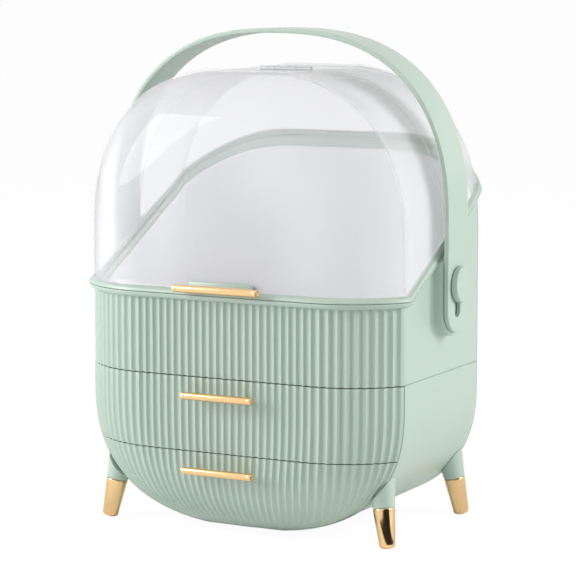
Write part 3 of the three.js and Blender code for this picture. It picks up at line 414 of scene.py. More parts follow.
class Skin:
    """Formulas of the body's skin at an inset from its outside. Places are measured from the middle plane."""

    def __init__(self, body, rim, flute):
        self.body, self.rim, self.flute = body, rim, flute
        self.power = body.roundness
        self.lower_rise = body.lower_centre - body.curve_foot
        self.face_flat = body.half_width - body.corner_span
        span, setback = body.corner_span, body.crease_setback
        self.corner_radius = (span ** 2 + setback ** 2) / (2 * setback)
        self.crease_y = body.half_depth - setback
        self.end_share = (1 - body.flat_end ** self.power) ** (1 / self.power)
        self.turn = np.arccos(body.flat_end ** (self.power / 2))
        self.belly = body.lower_centre - self.lower_rise * self.end_share
        self.crown = body.upper_centre + body.upper_rise * self.end_share
        self.knee = rim.level - self.crease_y

    def fall(self, z, inset):
        """How far a height is into the rounded part, as a share: 0 on the straight sides, about 1 at the
        belly and the crown."""
        low = (self.body.lower_centre - z) / (self.lower_rise - inset)
        high = (z - self.body.upper_centre) / (self.body.upper_rise - inset)
        return np.clip(np.maximum(low, high), 0, 1)

    def half_width(self, z, inset=0.0):
        """Half width W of the outline: W^n + fall^n = 1 in units of the full half width."""
        return (self.body.half_width - inset) * (1 - self.fall(z, inset) ** self.power) ** (1 / self.power)

    def depth(self, x, z, inset=0.0):
        """Distance of the face from the middle plane: flat out to the arc, then a circle to the crease. The
        way out is the superellipse's own measure, so the face rolls in at belly and crown as it does at the
        crease."""
        half, power = self.body.half_width - inset, self.power
        reach = half * ((np.abs(x) / half) ** power + self.fall(z, inset) ** power) ** (1 / power)
        over = np.maximum(0, np.minimum(half, reach) - self.face_flat)
        chord = np.maximum(0, (self.corner_radius - inset) ** 2 - over ** 2)
        return self.body.half_depth - self.corner_radius + np.sqrt(chord)

    def level(self, z, inset=0.0):
        """Even measure of height: -1 at the belly, 0 to 1 on the straight sides, 2 at the crown. In the
        rounded parts it is the superellipse's turn, the arcsine of fall^(n/2), as a share of the whole
        turn."""
        body = self.body
        low = np.clip((body.lower_centre - z) / (self.lower_rise - inset), 0, self.end_share)
        high = np.clip((z - body.upper_centre) / (body.upper_rise - inset), 0, self.end_share)
        middle = np.clip((z - body.lower_centre) / (body.upper_centre - body.lower_centre), 0, 1)
        angle = lambda share: np.arcsin(np.minimum(1, share ** (self.power / 2))) / self.turn
        return middle - angle(low) + angle(high)

    def height(self, level, inset=0.0):
        """Height of a level, the inverse of `level`: fall is the sine of the turn to the power 2/n."""
        body = self.body
        sine = lambda part: np.sin(np.clip(part, 0, 1) * self.turn) ** (2 / self.power)
        middle = body.lower_centre + (body.upper_centre - body.lower_centre) * np.clip(level, 0, 1)
        below, above = sine(-level) * (self.lower_rise - inset), sine(level - 1) * (body.upper_rise - inset)
        return middle - below + above

    def rim_height(self, y):
        """Rim line from the side: level, then a straight slope, with a parabola added near the back."""
        rim = self.rim
        near = np.minimum(y, self.body.half_depth)
        rear = np.maximum(0, 1 - (self.body.half_depth - near) / rim.rear_run)
        return rim.front + rim.slope * np.maximum(0, near - self.knee) + rim.rear_lift * rear ** 2

    def flutes(self, steps=9):
        """Columns of the fluted face from the middle to the crease: place as a share of the half width, and
        how hollow it is there, a parabola between two narrow flat lands."""
        flute, body = self.flute, self.body
        count = flute.on_flat + flute.on_corner
        across = np.linspace(-1, 1, steps)
        within = np.append(0, 0.5 + (0.5 - flute.land) * across)
        number = np.append((np.arange(count)[:, None] + within).ravel(), count)
        arc = self.corner_radius * np.arcsin(body.corner_span / self.corner_radius)
        pitch = (arc - flute.strip) / flute.on_corner
        flat = number * self.face_flat / flute.on_flat
        past = np.maximum(0, number - flute.on_flat) * pitch
        bent = self.face_flat + self.corner_radius * np.sin(past / self.corner_radius)
        share = np.where(number <= flute.on_flat, flat, bent) / body.half_width
        hollow = np.append(np.tile(np.append(0, 1 - across ** 2), count), 0)
        strip = np.linspace(share[-1], 1, 5)[1:]
        return np.append(share, strip), np.append(hollow, np.zeros(len(strip)))

    def fluted_face(self, z, share, hollow):
        """Points of the fluted face. Flutes keep more of their pitch than the outline where it narrows, crowd
        towards the crease there and fade out at the belly; each is cut square to the face."""
        flute = self.flute
        width = self.half_width(z)
        narrowing = width / self.body.half_width
        fade = 1 - smooth_step(flute.fade_start, flute.fade_stop, self.fall(z, 0))
        stretch = (1 - flute.draw_in * (1 - narrowing)) / narrowing
        crowd = stretch ** flute.crowding - 1
        slack = 1 + crowd * share ** flute.crowding
        x = width * stretch * share / slack ** (1 / flute.crowding)
        spacing = np.minimum(1, narrowing * stretch / slack ** (1 + 1 / flute.crowding))
        cut = flute.depth * hollow * fade * spacing
        depth = self.depth(x, z)
        slope = np.where(x + flute.depth < width, (depth - self.depth(x + flute.depth, z)) / flute.depth, 0)
        length = np.hypot(1, slope)
        return x - cut * slope / length, -(depth - cut / length)


def smooth_step(start, stop, value):
    """Smooth rise from 0 at start to 1 at stop: 3 s^2 - 2 s^3 of the share s between them."""
    share = np.clip((value - start) / (stop - start), 0, 1)
    return share * share * (3 - 2 * share)


class Strip:
    """One upright strip of the skin's right half: `place` turns heights and an inset into X and Y."""

    def __init__(self, skin, place, columns):
        self.skin, self.place, self.columns = skin, place, columns

    def rim(self, inset=0.0):
        """Height of the rim at each column, found by going from height to place and back 14 times."""
        z = np.full(self.columns, self.skin.rim.front)
        for _ in range(14):
            z = self.skin.rim_height(self.place(z[None, :], inset)[1][0])
        return z

    def points(self, z, inset):
        """Points of the strip at heights and an inset, moved to the middle plane's place."""
        x, y = self.place(z, inset)
        return np.stack(np.broadcast_arrays(x, y + MID_Y, z), axis=-1)

    def between(self, low, high, rows, inset):
        """Grid from the low to the high heights, with rows at even levels."""
        start = np.broadcast_to(self.skin.level(low, inset), self.columns)
        stop = np.broadcast_to(self.skin.level(high, inset), self.columns)
        share = np.linspace(0, 1, rows)[:, None]
        return self.points(self.skin.height(start + (stop - start) * share, inset), inset)


def face_strip(skin, fluted=False, sign=-1, limit=None):
    """Front or back face, from the middle to the crease, with plain columns that crowd towards the crease.
    `limit` cuts the face off at a distance from the middle plane."""
    if fluted:
        share, hollow = skin.flutes()
        cut = -(skin.crease_y + FIT) if limit is None else -limit

        def place(z, inset):
            x = share * skin.half_width(z, inset)
            x, y = (x, -skin.depth(x, z, inset)) if inset else skin.fluted_face(z, share, hollow)
            return x, np.minimum(y, cut)
        return Strip(skin, place, len(share))
    crowding = 1.3
    share = 1 - (1 - np.linspace(0, 1, FACE_COLUMNS)) ** crowding

    def place(z, inset):
        x = share * skin.half_width(z, inset)
        depth = skin.depth(x, z, inset)
        return x, sign * (depth if limit is None else np.minimum(depth, limit))
    return Strip(skin, place, len(share))


def flank_strip(skin, start=-1.0, stop=1.0):
    """Side wall between two shares of the crease's distance from the middle plane."""
    share = np.linspace(start, stop, FLANK_COLUMNS)

    def place(z, inset):
        half = skin.body.half_width - inset
        crease = skin.depth(half, skin.body.upper_centre, inset)
        return skin.half_width(z, inset), share * crease + 0 * z
    return Strip(skin, place, len(share))


def floored(grid, y=0.0):
    """The grid with rows of a flat floor before its first row: they grow from a point on the middle line, at
    a distance from the middle plane."""
    centre = np.array([0, MID_Y + y, 0])
    growth = np.array([0, 0.2, 0.5, 0.8, 0.97])[:, None, None]
    rows = centre + (grid[0] - centre) * np.concatenate([growth, growth, np.ones_like(growth)], axis=2)
    return np.concatenate([rows, grid])


def wall_between(outer, inner, rows=(-1,), columns=()):
    """Patches of a wall: its two skins and the strips that join them along the named rows and columns."""
    joins = [(outer[row], inner[row]) for row in rows] + [(outer[:, at], inner[:, at]) for at in columns]
    return [patch(outer), patch(inner), *(patch(np.stack(pair)) for pair in joins)]


def band(strips, outer, inner, low, high):
    """Flat ring inside the skin between two insets and two heights, closed at its first end."""
    rings = []
    for strip in strips:
        corners = [(outer, low), (outer, high), (inner, high), (inner, low)]
        rows = [strip.points(np.full((1, strip.columns), z), inset)[0] for inset, z in corners]
        rings.append(np.stack(rows))
    ring = np.concatenate(rings, axis=1)
    return [patch(ring, wrap_rows=True), end_cap(ring[:, 0])]


def rim_bead(strips, profile):
    """Closed profile of (proud, height over the rim) carried along the rim. The skin at a negative inset
    gives its way round the creases."""
    rings = []
    for strip in strips:
        rows = [strip.points((strip.rim(-proud) + rise)[None, :], -proud)[0] for proud, rise in profile]
        rings.append(np.stack(rows))
    return patch(np.concatenate(rings, axis=1), wrap_rows=True)


def block(low, high):
    """Box between two corners, as six patches."""
    low, high = np.array(low), np.array(high)
    corner = lambda x, y, z: np.where([x, y, z], high, low)
    sides = []
    for axis in range(3):
        for end in (0, 1):
            pick = lambda a, b: np.insert([a, b], axis, end)
            sides.append(patch(np.array([[corner(*pick(0, 0)), corner(*pick(1, 0))],
                                         [corner(*pick(0, 1)), corner(*pick(1, 1))]])))
    return sides


# Finishes


class Socket:
    """An output socket that takes part in sums: each operator adds a Math node."""

    def __init__(self, finish, link):
        self.finish, self.link = finish, link

    def _math(self, operation, *values):
        """Math node of one operation on sockets and numbers."""
        return self.finish.node("ShaderNodeMath", {"operation": operation}, dict(enumerate(values)))

    def __add__(self, other):
        return self._math("ADD", self, other)

    def __radd__(self, other):
        return self._math("ADD", other, self)

    def __sub__(self, other):
        return self._math("SUBTRACT", self, other)

    def __rsub__(self, other):
        return self._math("SUBTRACT", other, self)

    def __mul__(self, other):
        return self._math("MULTIPLY", self, other)

    def __rmul__(self, other):
        return self._math("MULTIPLY", other, self)

    def __pow__(self, other):
        return self._math("POWER", self, other)


class Finish:
    """The nodes of a material or a world: `node` adds any node, `surface` ends them in a Principled
    shader."""

    def __init__(self, owner):
        self.owner = owner
        owner.use_nodes = True
        self.tree = owner.node_tree
        self.tree.nodes.clear()

    def node(self, kind, settings=None, inputs=None, output=0):
        """Adds a node: settings first, then the values or links of its sockets."""
        made = self.tree.nodes.new(kind)
        for key, value in (settings or {}).items():
            setattr(made, key, value)
        for key, value in (inputs or {}).items():
            if isinstance(value, Socket):
                self.tree.links.new(value.link, made.inputs[key])
            else:
                made.inputs[key].default_value = value
        return Socket(self, made.outputs[output])

    def place(self):
        """Object coordinates, in metres."""
        return self.node("ShaderNodeTexCoord", output="Object")

    def noise(self, scale, detail, stretch=(1, 1, 1)):
        """Noise at `scale` per metre, on coordinates stretched per axis."""
        spread = self.node("ShaderNodeMapping", {}, {"Vector": self.place(), "Scale": stretch})
        return self.node("ShaderNodeTexNoise", {}, {"Vector": spread, "Scale": scale, "Detail": detail})

    def tint(self, share, low, high):
        """Colour between two colours."""
        colours = {0: share, 6: (*low, 1), 7: (*high, 1)}
        return self.node("ShaderNodeMix", {"data_type": "RGBA"}, colours, output=2)

    def bump(self, height, distance, strength):
        """Normal of a height that stands for a distance in metres."""
        return self.node("ShaderNodeBump", {}, {"Height": height, "Distance": distance, "Strength": strength})

    def surface(self, **inputs):
        """Material whose Principled shader has these inputs. Underscores stand for spaces in their names."""
        names = {key.replace("_", " "): value for key, value in inputs.items()}
        shader = self.node("ShaderNodeBsdfPrincipled", {}, names)
        self.node_output(shader)
        return self.owner

    def node_output(self, shader, kind="ShaderNodeOutputMaterial"):
        """Ends the nodes in the output of a material or a world."""
        output = self.tree.nodes.new(kind)
        self.tree.links.new(shader.link, output.inputs["Surface"])


def shade(colour, factor):
    """A colour made darker or lighter by a factor."""
    return tuple(min(1.0, channel * factor) for channel in colour)


def sage_plastic(finish, colours):
    """Satin moulded plastic: a faint cloudiness, fine grain and slight gloss changes."""
    cloud = finish.noise(14.0, 2.0)
    grain = finish.noise(1500.0, 2.0)
    return finish.surface(
        Base_Color=finish.tint(cloud, shade(colours.sage, 0.97), shade(colours.sage, 1.03)),
        Roughness=0.36 + 0.08 * cloud + 0.04 * grain,
        Normal=finish.bump(grain, 0.00002, 0.3),
        Coat_Weight=0.35, Coat_Roughness=0.22)


def pale_plastic(finish, colours):
    """Off-white liner plastic with a fine grain."""
    cloud = finish.noise(10.0, 2.0)
    grain = finish.noise(1100.0, 2.0)
    return finish.surface(
        Base_Color=finish.tint(cloud, shade(colours.pale, 0.98), shade(colours.pale, 1.02)),
        Roughness=0.42 + 0.08 * grain, Normal=finish.bump(grain, 0.00002, 0.3))


def clear_plastic(finish, colours):
    """Clear moulded plastic: a faint haze that thickens where the wall is seen at a slant, with very slight
    waviness from the mould. Its colour also darkens there, a painted shade that stands in for the darker
    edges that refraction gives."""
    slant = finish.node("ShaderNodeLayerWeight", {}, {"Blend": 0.5}, output="Facing")
    wave = finish.noise(9.0, 1.0)
    return finish.surface(
        # Painted shade: the haze colour falls to about a third where the wall is seen at a slant, for
        # refraction's dark edges
        Base_Color=finish.tint(slant ** 3.0, colours.clear, shade(colours.clear, 0.35)),
        Roughness=0.05 + 0.03 * wave, Alpha=0.22 + 0.5 * slant ** 2.5,
        Normal=finish.bump(wave, 0.0004, 0.25), Specular_IOR_Level=0.3)


def gold_metal(finish, colours):
    """Polished plated metal with faint polishing marks."""
    marks = finish.noise(900.0, 2.0, (0.15, 1, 1))
    return finish.surface(
        Base_Color=finish.tint(marks, shade(colours.gold, 0.97), shade(colours.gold, 1.03)),
        Metallic=1.0, Roughness=0.08 + 0.05 * marks, Normal=finish.bump(marks, 0.000005, 0.2))


def steel_metal(finish, colours):
    """Zinc-plated steel."""
    grain = finish.noise(600.0, 3.0)
    return finish.surface(
        Base_Color=finish.tint(grain, shade(colours.steel, 0.9), shade(colours.steel, 1.05)),
        Metallic=1.0, Roughness=0.3 + 0.12 * grain)


MAKERS = {"sage_plastic": sage_plastic, "pale_plastic": pale_plastic, "clear_cover": clear_plastic,
          "gold_metal": gold_metal, "steel": steel_metal}


def finish_of(context, slot):
    """The finish of a slot, made when it is first asked for. Its name differs from the plain material's."""
    name = f"{slot}_finish"
    return bpy.data.materials.get(name) or MAKERS[slot](
        Finish(bpy.data.materials.new(name)), context.scene.organizer_colours)


def build(name, patches, body, slot, *nodes, **rounding):
    """One piece in its slot's finish that rides on a body and hides the nodes that it stands for."""
    made = piece(name, patches, finish_of(bpy.context, slot), **rounding)
    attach(made, body)
    if nodes:
        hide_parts(*nodes)


def skin_of(context):
    """The skin with the sizes that are set in the scene."""
    scene = context.scene
    return Skin(scene.organizer_body, scene.organizer_rim, scene.organizer_flute)


# Forms that several operators use


def back_strip(skin, limit=None):
    """Back face from its crease to the middle: the face's columns the other way round."""
    back = face_strip(skin, sign=1, limit=limit)

    def place(z, inset):
        x, y = back.place(np.flip(z, -1), inset)
        return np.flip(x, -1), np.flip(y, -1)
    return Strip(skin, place, back.columns)


def half_ring(skin, *face):
    """Strips of a right half: the face if one is given, the side wall and the back."""
    return [*face, flank_strip(skin), back_strip(skin)]


def outline(skin, start, stop, count):
    """Half of the body's outline from the front between two levels, with the flat stretch at a level of -1
    or 2. Gives X, Z and the outward directions, which are the steps along it turned by a right angle."""
    z = skin.height(np.linspace(start, stop, count))
    x = skin.half_width(z)
    flat = np.linspace(0, 1, 12)[:-1]
    if start == -1:
        x, z = np.append(flat * x[0], x), np.append(np.full(len(flat), z[0]), z)
    if stop == 2:
        x, z = np.append(x, (flat * x[-1])[::-1]), np.append(z, np.full(len(flat), z[-1]))
    step = np.gradient(np.stack([x, z], axis=-1), axis=0)
    return x, z, np.stack([step[:, 1], -step[:, 0]], axis=-1) / np.linalg.norm(step, axis=1)[:, None]


def bead_profile(rim, sign, inner):
    """Quarter round of the bead below (sign -1) or above (sign 1) the rim, with a softened parting edge. The
    round is cosine and sine of its angle, from 8 degrees up to a right angle."""
    angle = np.linspace(np.radians(8), np.pi / 2, 10)
    gap = FIT if sign > 0 else 0
    top = sign * rim.bead_height + gap
    soft, proud = rim.parting, rim.bead_proud
    parting = [(-inner, gap), (proud - 3 * soft, gap), (proud - soft, gap + sign * soft / 3)]
    quarter = zip(proud * np.cos(angle), sign * rim.bead_height * np.sin(angle) + gap)
    return [*parting, *quarter, (-inner, top)]


def pivot_height():
    """Height of the handle's pivot: the middle of the right button."""
    low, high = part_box("pivot_button_right")
    return (low[2] + high[2]) / 2


def boss(skin, handle, sign):
    """Raised boss on the side wall. Its outline is straight above and half an ellipse below. Rings of the
    outline follow the flank: a hollow quarter at the wall, straight, a round quarter at the face, then the
    flat face."""
    wall, sunk = skin.body.half_width, skin.body.wall / 2
    face = handle.stand - handle.thickness - RUNNING
    centre = pivot_height() - handle.boss_tail + handle.boss_round
    foot, edge = handle.boss_foot, handle.boss_edge
    turn = np.linspace(0, np.pi / 2, 7)
    hollow = np.stack([foot * (1 - np.sin(turn)), foot * (1 - np.cos(turn))], axis=-1)
    rounded = np.stack([edge * (np.cos(turn) - 1), face - edge + edge * np.sin(turn)], axis=-1)
    flat = [(-handle.boss_half * share, face) for share in (0.6, 1)]
    angle = np.concatenate([[0], np.linspace(0, np.pi, 33), [np.pi]])
    rings = []
    for spread, lift in [(foot, -sunk), *hollow, *rounded, *flat]:
        y = (handle.boss_half + spread) * np.cos(angle)
        z = centre - handle.boss_round * (1 + spread / handle.boss_half) * np.sin(angle)
        z[[0, -1]] = skin.rim_height(y[[0, -1]])
        rings.append(np.stack([np.full(len(y), sign * (wall + lift)), y + MID_Y, z], axis=-1))
    grid = np.stack(rings)
    under = grid[0].copy()
    middle = np.array([sign * (wall - sunk), MID_Y, centre])
    share = np.array([1, 0.5, 0])[:, None, None]
    return [patch(grid), patch(np.stack([grid[:, 0], grid[:, -1]])), patch(middle + (under - middle) * share),
            patch(np.stack([under[[0, -1]], np.stack([middle, middle])]))]


# Operators


class ORGANIZER_OT_lower_shell(bpy.types.Operator):
    """Build the drawer housing with its trim, ledge, flange and runners"""

    bl_idname = "organizer.lower_shell"
    bl_label = "Lower shell"

    def execute(self, context):
        skin, inside = skin_of(context), context.scene.organizer_inside
        body = skin.body
        top = body.upper_seam + body.seam / 2 - FIT
        skins = []
        for inset in (0, body.wall):
            grids = [strip.between(skin.belly + inset, top, 40, inset) for strip in half_ring(skin)]
            grid = np.concatenate(grids, axis=1)
            grid[:, 0, 1] = MID_Y - skin.crease_y
            skins.append(floored(grid, -skin.crease_y))
        pieces = {"": wall_between(*skins, columns=(0,)), "_ledges": self.ledges(skin, inside, top),
                  "_trim": self.trim(skin, inside, top)}
        for name, patches in pieces.items():
            nodes = () if name else ("lower_shell",)
            build(f"housing{name}", mirrored(patches), "base", "sage_plastic", *nodes, edge=body.edge)
        return {"FINISHED"}

    def ledges(self, skin, inside, top):
        """Ledge under the shelf and flange under the seam, as flat rings inside the skin, and a runner."""
        body = skin.body
        strips = (flank_strip(skin, inside.trim_width / skin.crease_y - 1), back_strip(skin))
        ledge_top = body.lower_seam - inside.ledge_drop
        ledge = band(strips, body.sunk, inside.ledge_reach, ledge_top - inside.ledge_height, ledge_top)
        flange = band(strips, body.sunk, inside.flange_reach, top - inside.flange_height, top)
        x = body.flat_end * body.half_width - inside.runner_inset
        foot = np.array([x, MID_Y, skin.belly + body.wall])
        half, long, short = inside.runner_half, skin.crease_y, inside.runner_short
        runner = block(foot - (half, long, 0), foot + (half, long - short, inside.runner_height))
        return [*ledge, *flange, *runner]

    def trim(self, skin, inside, top):
        """Raised strip round the drawer opening: a flat section carried up the outline."""
        x, z, out = outline(skin, -1.0, skin.level(top), 60)
        front = MID_Y - skin.crease_y
        rear, sunk, proud = front + inside.trim_width, -skin.body.sunk, inside.trim_proud
        rows = []
        for lift, y in ((sunk, front), (proud, front), (proud, rear), (sunk, rear)):
            row = np.maximum(0, x + out[:, 0] * lift), y, z + out[:, 1] * lift
            rows.append(np.stack(np.broadcast_arrays(*row), axis=-1))
        ring = np.stack(rows)
        return [patch(ring, wrap_rows=True), end_cap(ring[:, -1])]


class ORGANIZER_OT_upper_shell(bpy.types.Operator):
    """Build the fluted upper compartment, its rim bead and the bosses of the handle"""

    bl_idname = "organizer.upper_shell"
    bl_label = "Upper shell"

    def execute(self, context):
        skin = skin_of(context)
        body = skin.body
        bottom = body.upper_seam + body.seam / 2
        strips = half_ring(skin, face_strip(skin, fluted=True, limit=skin.crease_y))
        skins = []
        for inset in (0, body.wall):
            grids = [strip.between(bottom + inset, strip.rim(inset), 26, inset) for strip in strips]
            skins.append(floored(np.concatenate(grids, axis=1)))
        build("upper_body", mirrored(wall_between(*skins)), "base", "sage_plastic", "upper_shell",
              edge=body.edge, crease=FLUTE_CREASE)
        bead = rim_bead(half_ring(skin, face_strip(skin)), bead_profile(skin.rim, -1, body.sunk))
        build("rim_bead", mirrored([bead]), "base", "sage_plastic")
        for side, sign in SIDES.items():
            build(f"boss_{side}", boss(skin, context.scene.organizer_handle, sign), "base", "sage_plastic")
        return {"FINISHED"}


class ORGANIZER_OT_liner(bpy.types.Operator):
    """Build the pale liner tray with its arched board at the back"""

    bl_idname = "organizer.liner"
    bl_label = "Liner tray"

    def execute(self, context):
        skin, inside = skin_of(context), context.scene.organizer_inside
        skins = [self.half(skin, inside, depth) for depth in (0, inside.liner_wall)]
        build("liner", mirrored(wall_between(*skins)), "base", "pale_plastic", "liner_tray",
              edge=inside.liner_edge)
        return {"FINISHED"}

    def half(self, skin, inside, depth):
        """Right half of the tray's outside or, at the depth of its wall, of its inside. The walls end a drop
        under the rim or at the level top, and the back rises over it in half an ellipse."""
        body = skin.body
        inset = body.wall + RUNNING + depth
        low = body.upper_seam + body.seam / 2 + body.wall + FIT + depth
        top = inside.liner_top
        rise = skin.rim_height(body.half_depth) - inside.liner_drop - top
        grids = []
        for strip in half_ring(skin, face_strip(skin)):
            rim = strip.rim(inset) - inside.liner_drop
            x, y = (np.broadcast_to(v, (1, strip.columns))[0] for v in strip.place(rim[None, :], inset))
            arch = top + rise * np.sqrt(np.clip(1 - (x / inside.liner_board) ** 2, 0, 1))
            high = np.minimum(rim, np.where(y > skin.crease_y / 2, arch, top))
            grids.append(strip.between(low, high, 24, inset))
        return floored(np.concatenate(grids, axis=1))


class ORGANIZER_OT_drawers(bpy.types.Operator):
    """Build the two fluted drawer fronts and their trays"""

    bl_idname = "organizer.drawers"
    bl_label = "Drawers"

    def execute(self, context):
        skin, inside = skin_of(context), context.scene.organizer_inside
        body = skin.body
        half = body.seam / 2
        fronts = {"lower": (skin.belly, body.lower_seam - half, inside.lower_side),
                  "upper": (body.lower_seam + half, body.upper_seam - half, body.wall + RUNNING)}
        for name, (low, high, side) in fronts.items():
            build(f"{name}_front", self.front(skin, name == "lower", low, high), f"{name}_drawer",
                  "sage_plastic", f"{name}_drawer_front", edge=body.edge, crease=FLUTE_CREASE)
            skins = [self.tray(skin, name, side, depth) for depth in (0, inside.tray_wall)]
            build(f"{name}_tray", mirrored(wall_between(*skins)), f"{name}_drawer",
                  "sage_plastic", f"{name}_drawer_tray", edge=body.edge)
        return {"FINISHED"}

    def front(self, skin, bowl, low, high):
        """Fluted face with its wall. The lower one, a bowl, also runs back under the belly to the housing."""
        strip = face_strip(skin, fluted=True)
        rows = 44 if bowl else 10
        skins = []
        for inset in (0, skin.body.wall):
            grid = strip.between(low + inset if bowl else low, high, rows, inset)
            if bowl:
                under = grid[:1].copy()
                under[..., 1] = MID_Y - skin.crease_y - FIT
                grid = np.concatenate([under, grid])
            skins.append(grid)
        return mirrored(wall_between(*skins, rows=(0, -1), columns=(-1,)))

    def tray(self, skin, name, side, depth):
        """One skin of an open box, at a depth in its wall: a bowed front, side walls that follow the body,
        and a straight back."""
        low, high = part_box(f"{name}_drawer_tray")
        share = np.linspace(0, 1, FLANK_COLUMNS)

        def bow(z, inset):
            x = share * skin.half_width(z, inset)
            return x, -skin.depth(x, z, skin.body.wall + RUNNING + depth)
        back = back_strip(skin, limit=high[1] - MID_Y - depth)
        strips = (Strip(skin, bow, len(share)), flank_strip(skin), back)
        grids = [strip.between(low[2] + depth, high[2], 24, side + depth) for strip in strips]
        return floored(np.concatenate(grids, axis=1))


class ORGANIZER_OT_cover(bpy.types.Operator):
    """Build the clear hood and canopy, their green frames and the hinge's knuckles"""

    bl_idname = "organizer.cover"
    bl_label = "Clear cover"

    def execute(self, context):
        skin, cover = skin_of(context), context.scene.organizer_cover
        gap = RUNNING / skin.crease_y
        hood = [face_strip(skin), flank_strip(skin, -1, -gap)]
        canopy = [flank_strip(skin, gap, 1), back_strip(skin)]
        parts = [("hood", "hood", hood, -1, "hood_shell", "hood_frame"),
                 ("canopy", "base", canopy, 0, "rear_canopy", "canopy_frame")]
        for name, ride, strips, end, shell, bead_node in parts:
            skins = []
            for inset in (0, cover.wall):
                grid = np.concatenate([self.clear_wall(skin, strip, inset) for strip in strips], axis=1)
                skins.append(floored(grid[::-1], RUNNING if end == 0 else -RUNNING))
            build(f"{name}_clear", mirrored(wall_between(*skins, columns=(end,))), ride, "clear_cover", shell,
                  edge=cover.edge)
            build(f"{name}_fold", self.fold(skin, cover, end), ride, "clear_cover")
            bead = rim_bead(strips, bead_profile(skin.rim, 1, -FIT))
            section = bead[0].reshape(-1, sum(strip.columns for strip in strips), 3)[:, end]
            build(f"{name}_rim", mirrored([bead, end_cap(section)]), ride, "sage_plastic", bead_node)
        self.tab(skin, cover)
        self.knuckles(cover)
        return {"FINISHED"}

    def clear_wall(self, skin, strip, inset):
        """Clear wall from the rim to the crown, with rows closer near the rim. Its lowest stretch flares out
        over the frame, by a parabola."""
        rim, rows, closeness = skin.rim, 56, 1.25
        foot = strip.rim() + FIT + rim.bead_height * rim.foot_share
        start, stop = skin.level(foot, inset), skin.level(skin.crown - inset, inset)
        share = np.linspace(0, 1, rows)[:, None] ** closeness
        z = skin.height(start + (stop - start) * share, inset)
        flare = rim.flare * np.clip(1 - (z - foot) / rim.flare_height, 0, 1) ** 2
        return strip.points(z, inset - flare)

    def fold(self, skin, cover, end):
        """Thickened fold of the clear wall along its crease: a tube from the rim up over the crown."""
        y = skin.crease_y if end == 0 else -skin.crease_y
        foot = skin.rim_height(y) + skin.rim.bead_height + FIT
        x, z, out = outline(skin, skin.level(foot), 2.0, 90)
        turn = np.linspace(0, 2 * np.pi, 12, endpoint=False)[:, None]
        reach = cover.fold * np.cos(turn)
        along = MID_Y + y - np.sign(y) * cover.fold / 2 + cover.fold * np.sin(turn)
        tube = np.maximum(0, x + reach * out[:, 0]), along, z + reach * out[:, 1]
        tube = np.stack(np.broadcast_arrays(*tube), axis=-1)
        return mirrored([patch(tube, wrap_rows=True), end_cap(tube[:, 0])])

    def tab(self, skin, cover):
        """Raised plate in the middle of the hood's frame that carries the bar."""
        low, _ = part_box("hood_frame")
        bead = skin.rim.bead_height
        plate = block((-cover.tab_half, low[1], low[2] + bead / 2),
                      (cover.tab_half, low[1] + cover.tab_depth, low[2] + bead + cover.tab_height))
        build("hood_tab", plate, "hood", "sage_plastic", edge=cover.tab_edge)

    def knuckles(self, cover):
        """Barrels round the hinge pin: one on the hood, two on the canopy."""
        bore, near = cover.bore, cover.hood_barrel + FIT
        far = near + cover.canopy_barrel
        spans = {"hood_knuckle": ("hood", [(-cover.hood_barrel, cover.hood_barrel)]),
                 "canopy_knuckles": ("base", [(near, far), (-far, -near)])}
        for name, (ride, stretches) in spans.items():
            barrels = []
            for start, stop in stretches:
                corners = [(bore, start), (cover.barrel, start), (cover.barrel, stop), (bore, stop)]
                profile = [*rounded_profile(corners, cover.barrel_edge), (bore, start)]
                barrel = lathe(profile, TURNED_SIDES["barrel"])
                barrels.append(moved(barrel, (1, 0, 0), (0, 0, 1), (0, MID_Y, HINGE_Z)))
            build(name, barrels, ride, "clear_cover")


class ORGANIZER_OT_bars(bpy.types.Operator):
    """Build the three gold bar handles with their posts and end caps"""

    bl_idname = "organizer.bars"
    bl_label = "Gold bars"

    def execute(self, context):
        bar = context.scene.organizer_bar
        bodies = {"lower_drawer_bar": "lower_drawer", "upper_drawer_bar": "upper_drawer", "hood_bar": "hood"}
        for node, body in bodies.items():
            low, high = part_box(node)
            radius, half = (high[2] - low[2]) / 2, high[0]
            axis = np.array([0, low[1] + radius, (low[2] + high[2]) / 2])
            parts = [moved(self.rod(bar, radius, half), (1, 0, 0), (0, 0, 1), axis)]
            for side in SIDES.values():
                place = axis + (side * half * bar.post_share, 0, 0)
                parts.append(moved(self.post(bar, high[1] - axis[1]), (0, 1, 0), (1, 0, 0), place))
            build(f"{node}_gold", parts, body, "gold_metal", node)
        return {"FINISHED"}

    def rod(self, bar, radius, half):
        """Rod turned round its axis: a ring sunk in each end, end caps and a fine groove behind each cap. One
        end is written out and mirrored."""
        start, stop = bar.cap - half, bar.cap + bar.groove_width - half
        inner, outer = radius * bar.ring_inner, radius * bar.ring_outer
        end = [(0, -half), (inner, -half), (inner, bar.ring_depth - half), (outer, bar.ring_depth - half),
               (outer, -half), (radius, -half), (radius, start), (radius - bar.groove, start),
               (radius - bar.groove, stop), (radius, stop)]
        other = [(across, -along) for across, along in reversed(end)]
        return lathe(rounded_profile([*end, *other], bar.edge, steps=4), TURNED_SIDES["rod"])

    def post(self, bar, reach):
        """Post turned round its axis, with a collar where it meets the front."""
        collar = reach - bar.collar_height
        profile = [(0, 0), (bar.post, 0), (bar.post, collar - bar.post_edge), (bar.collar, collar),
                   (bar.collar, reach), (0, reach)]
        return lathe(rounded_profile(profile, bar.post_edge, steps=3), TURNED_SIDES["post"])


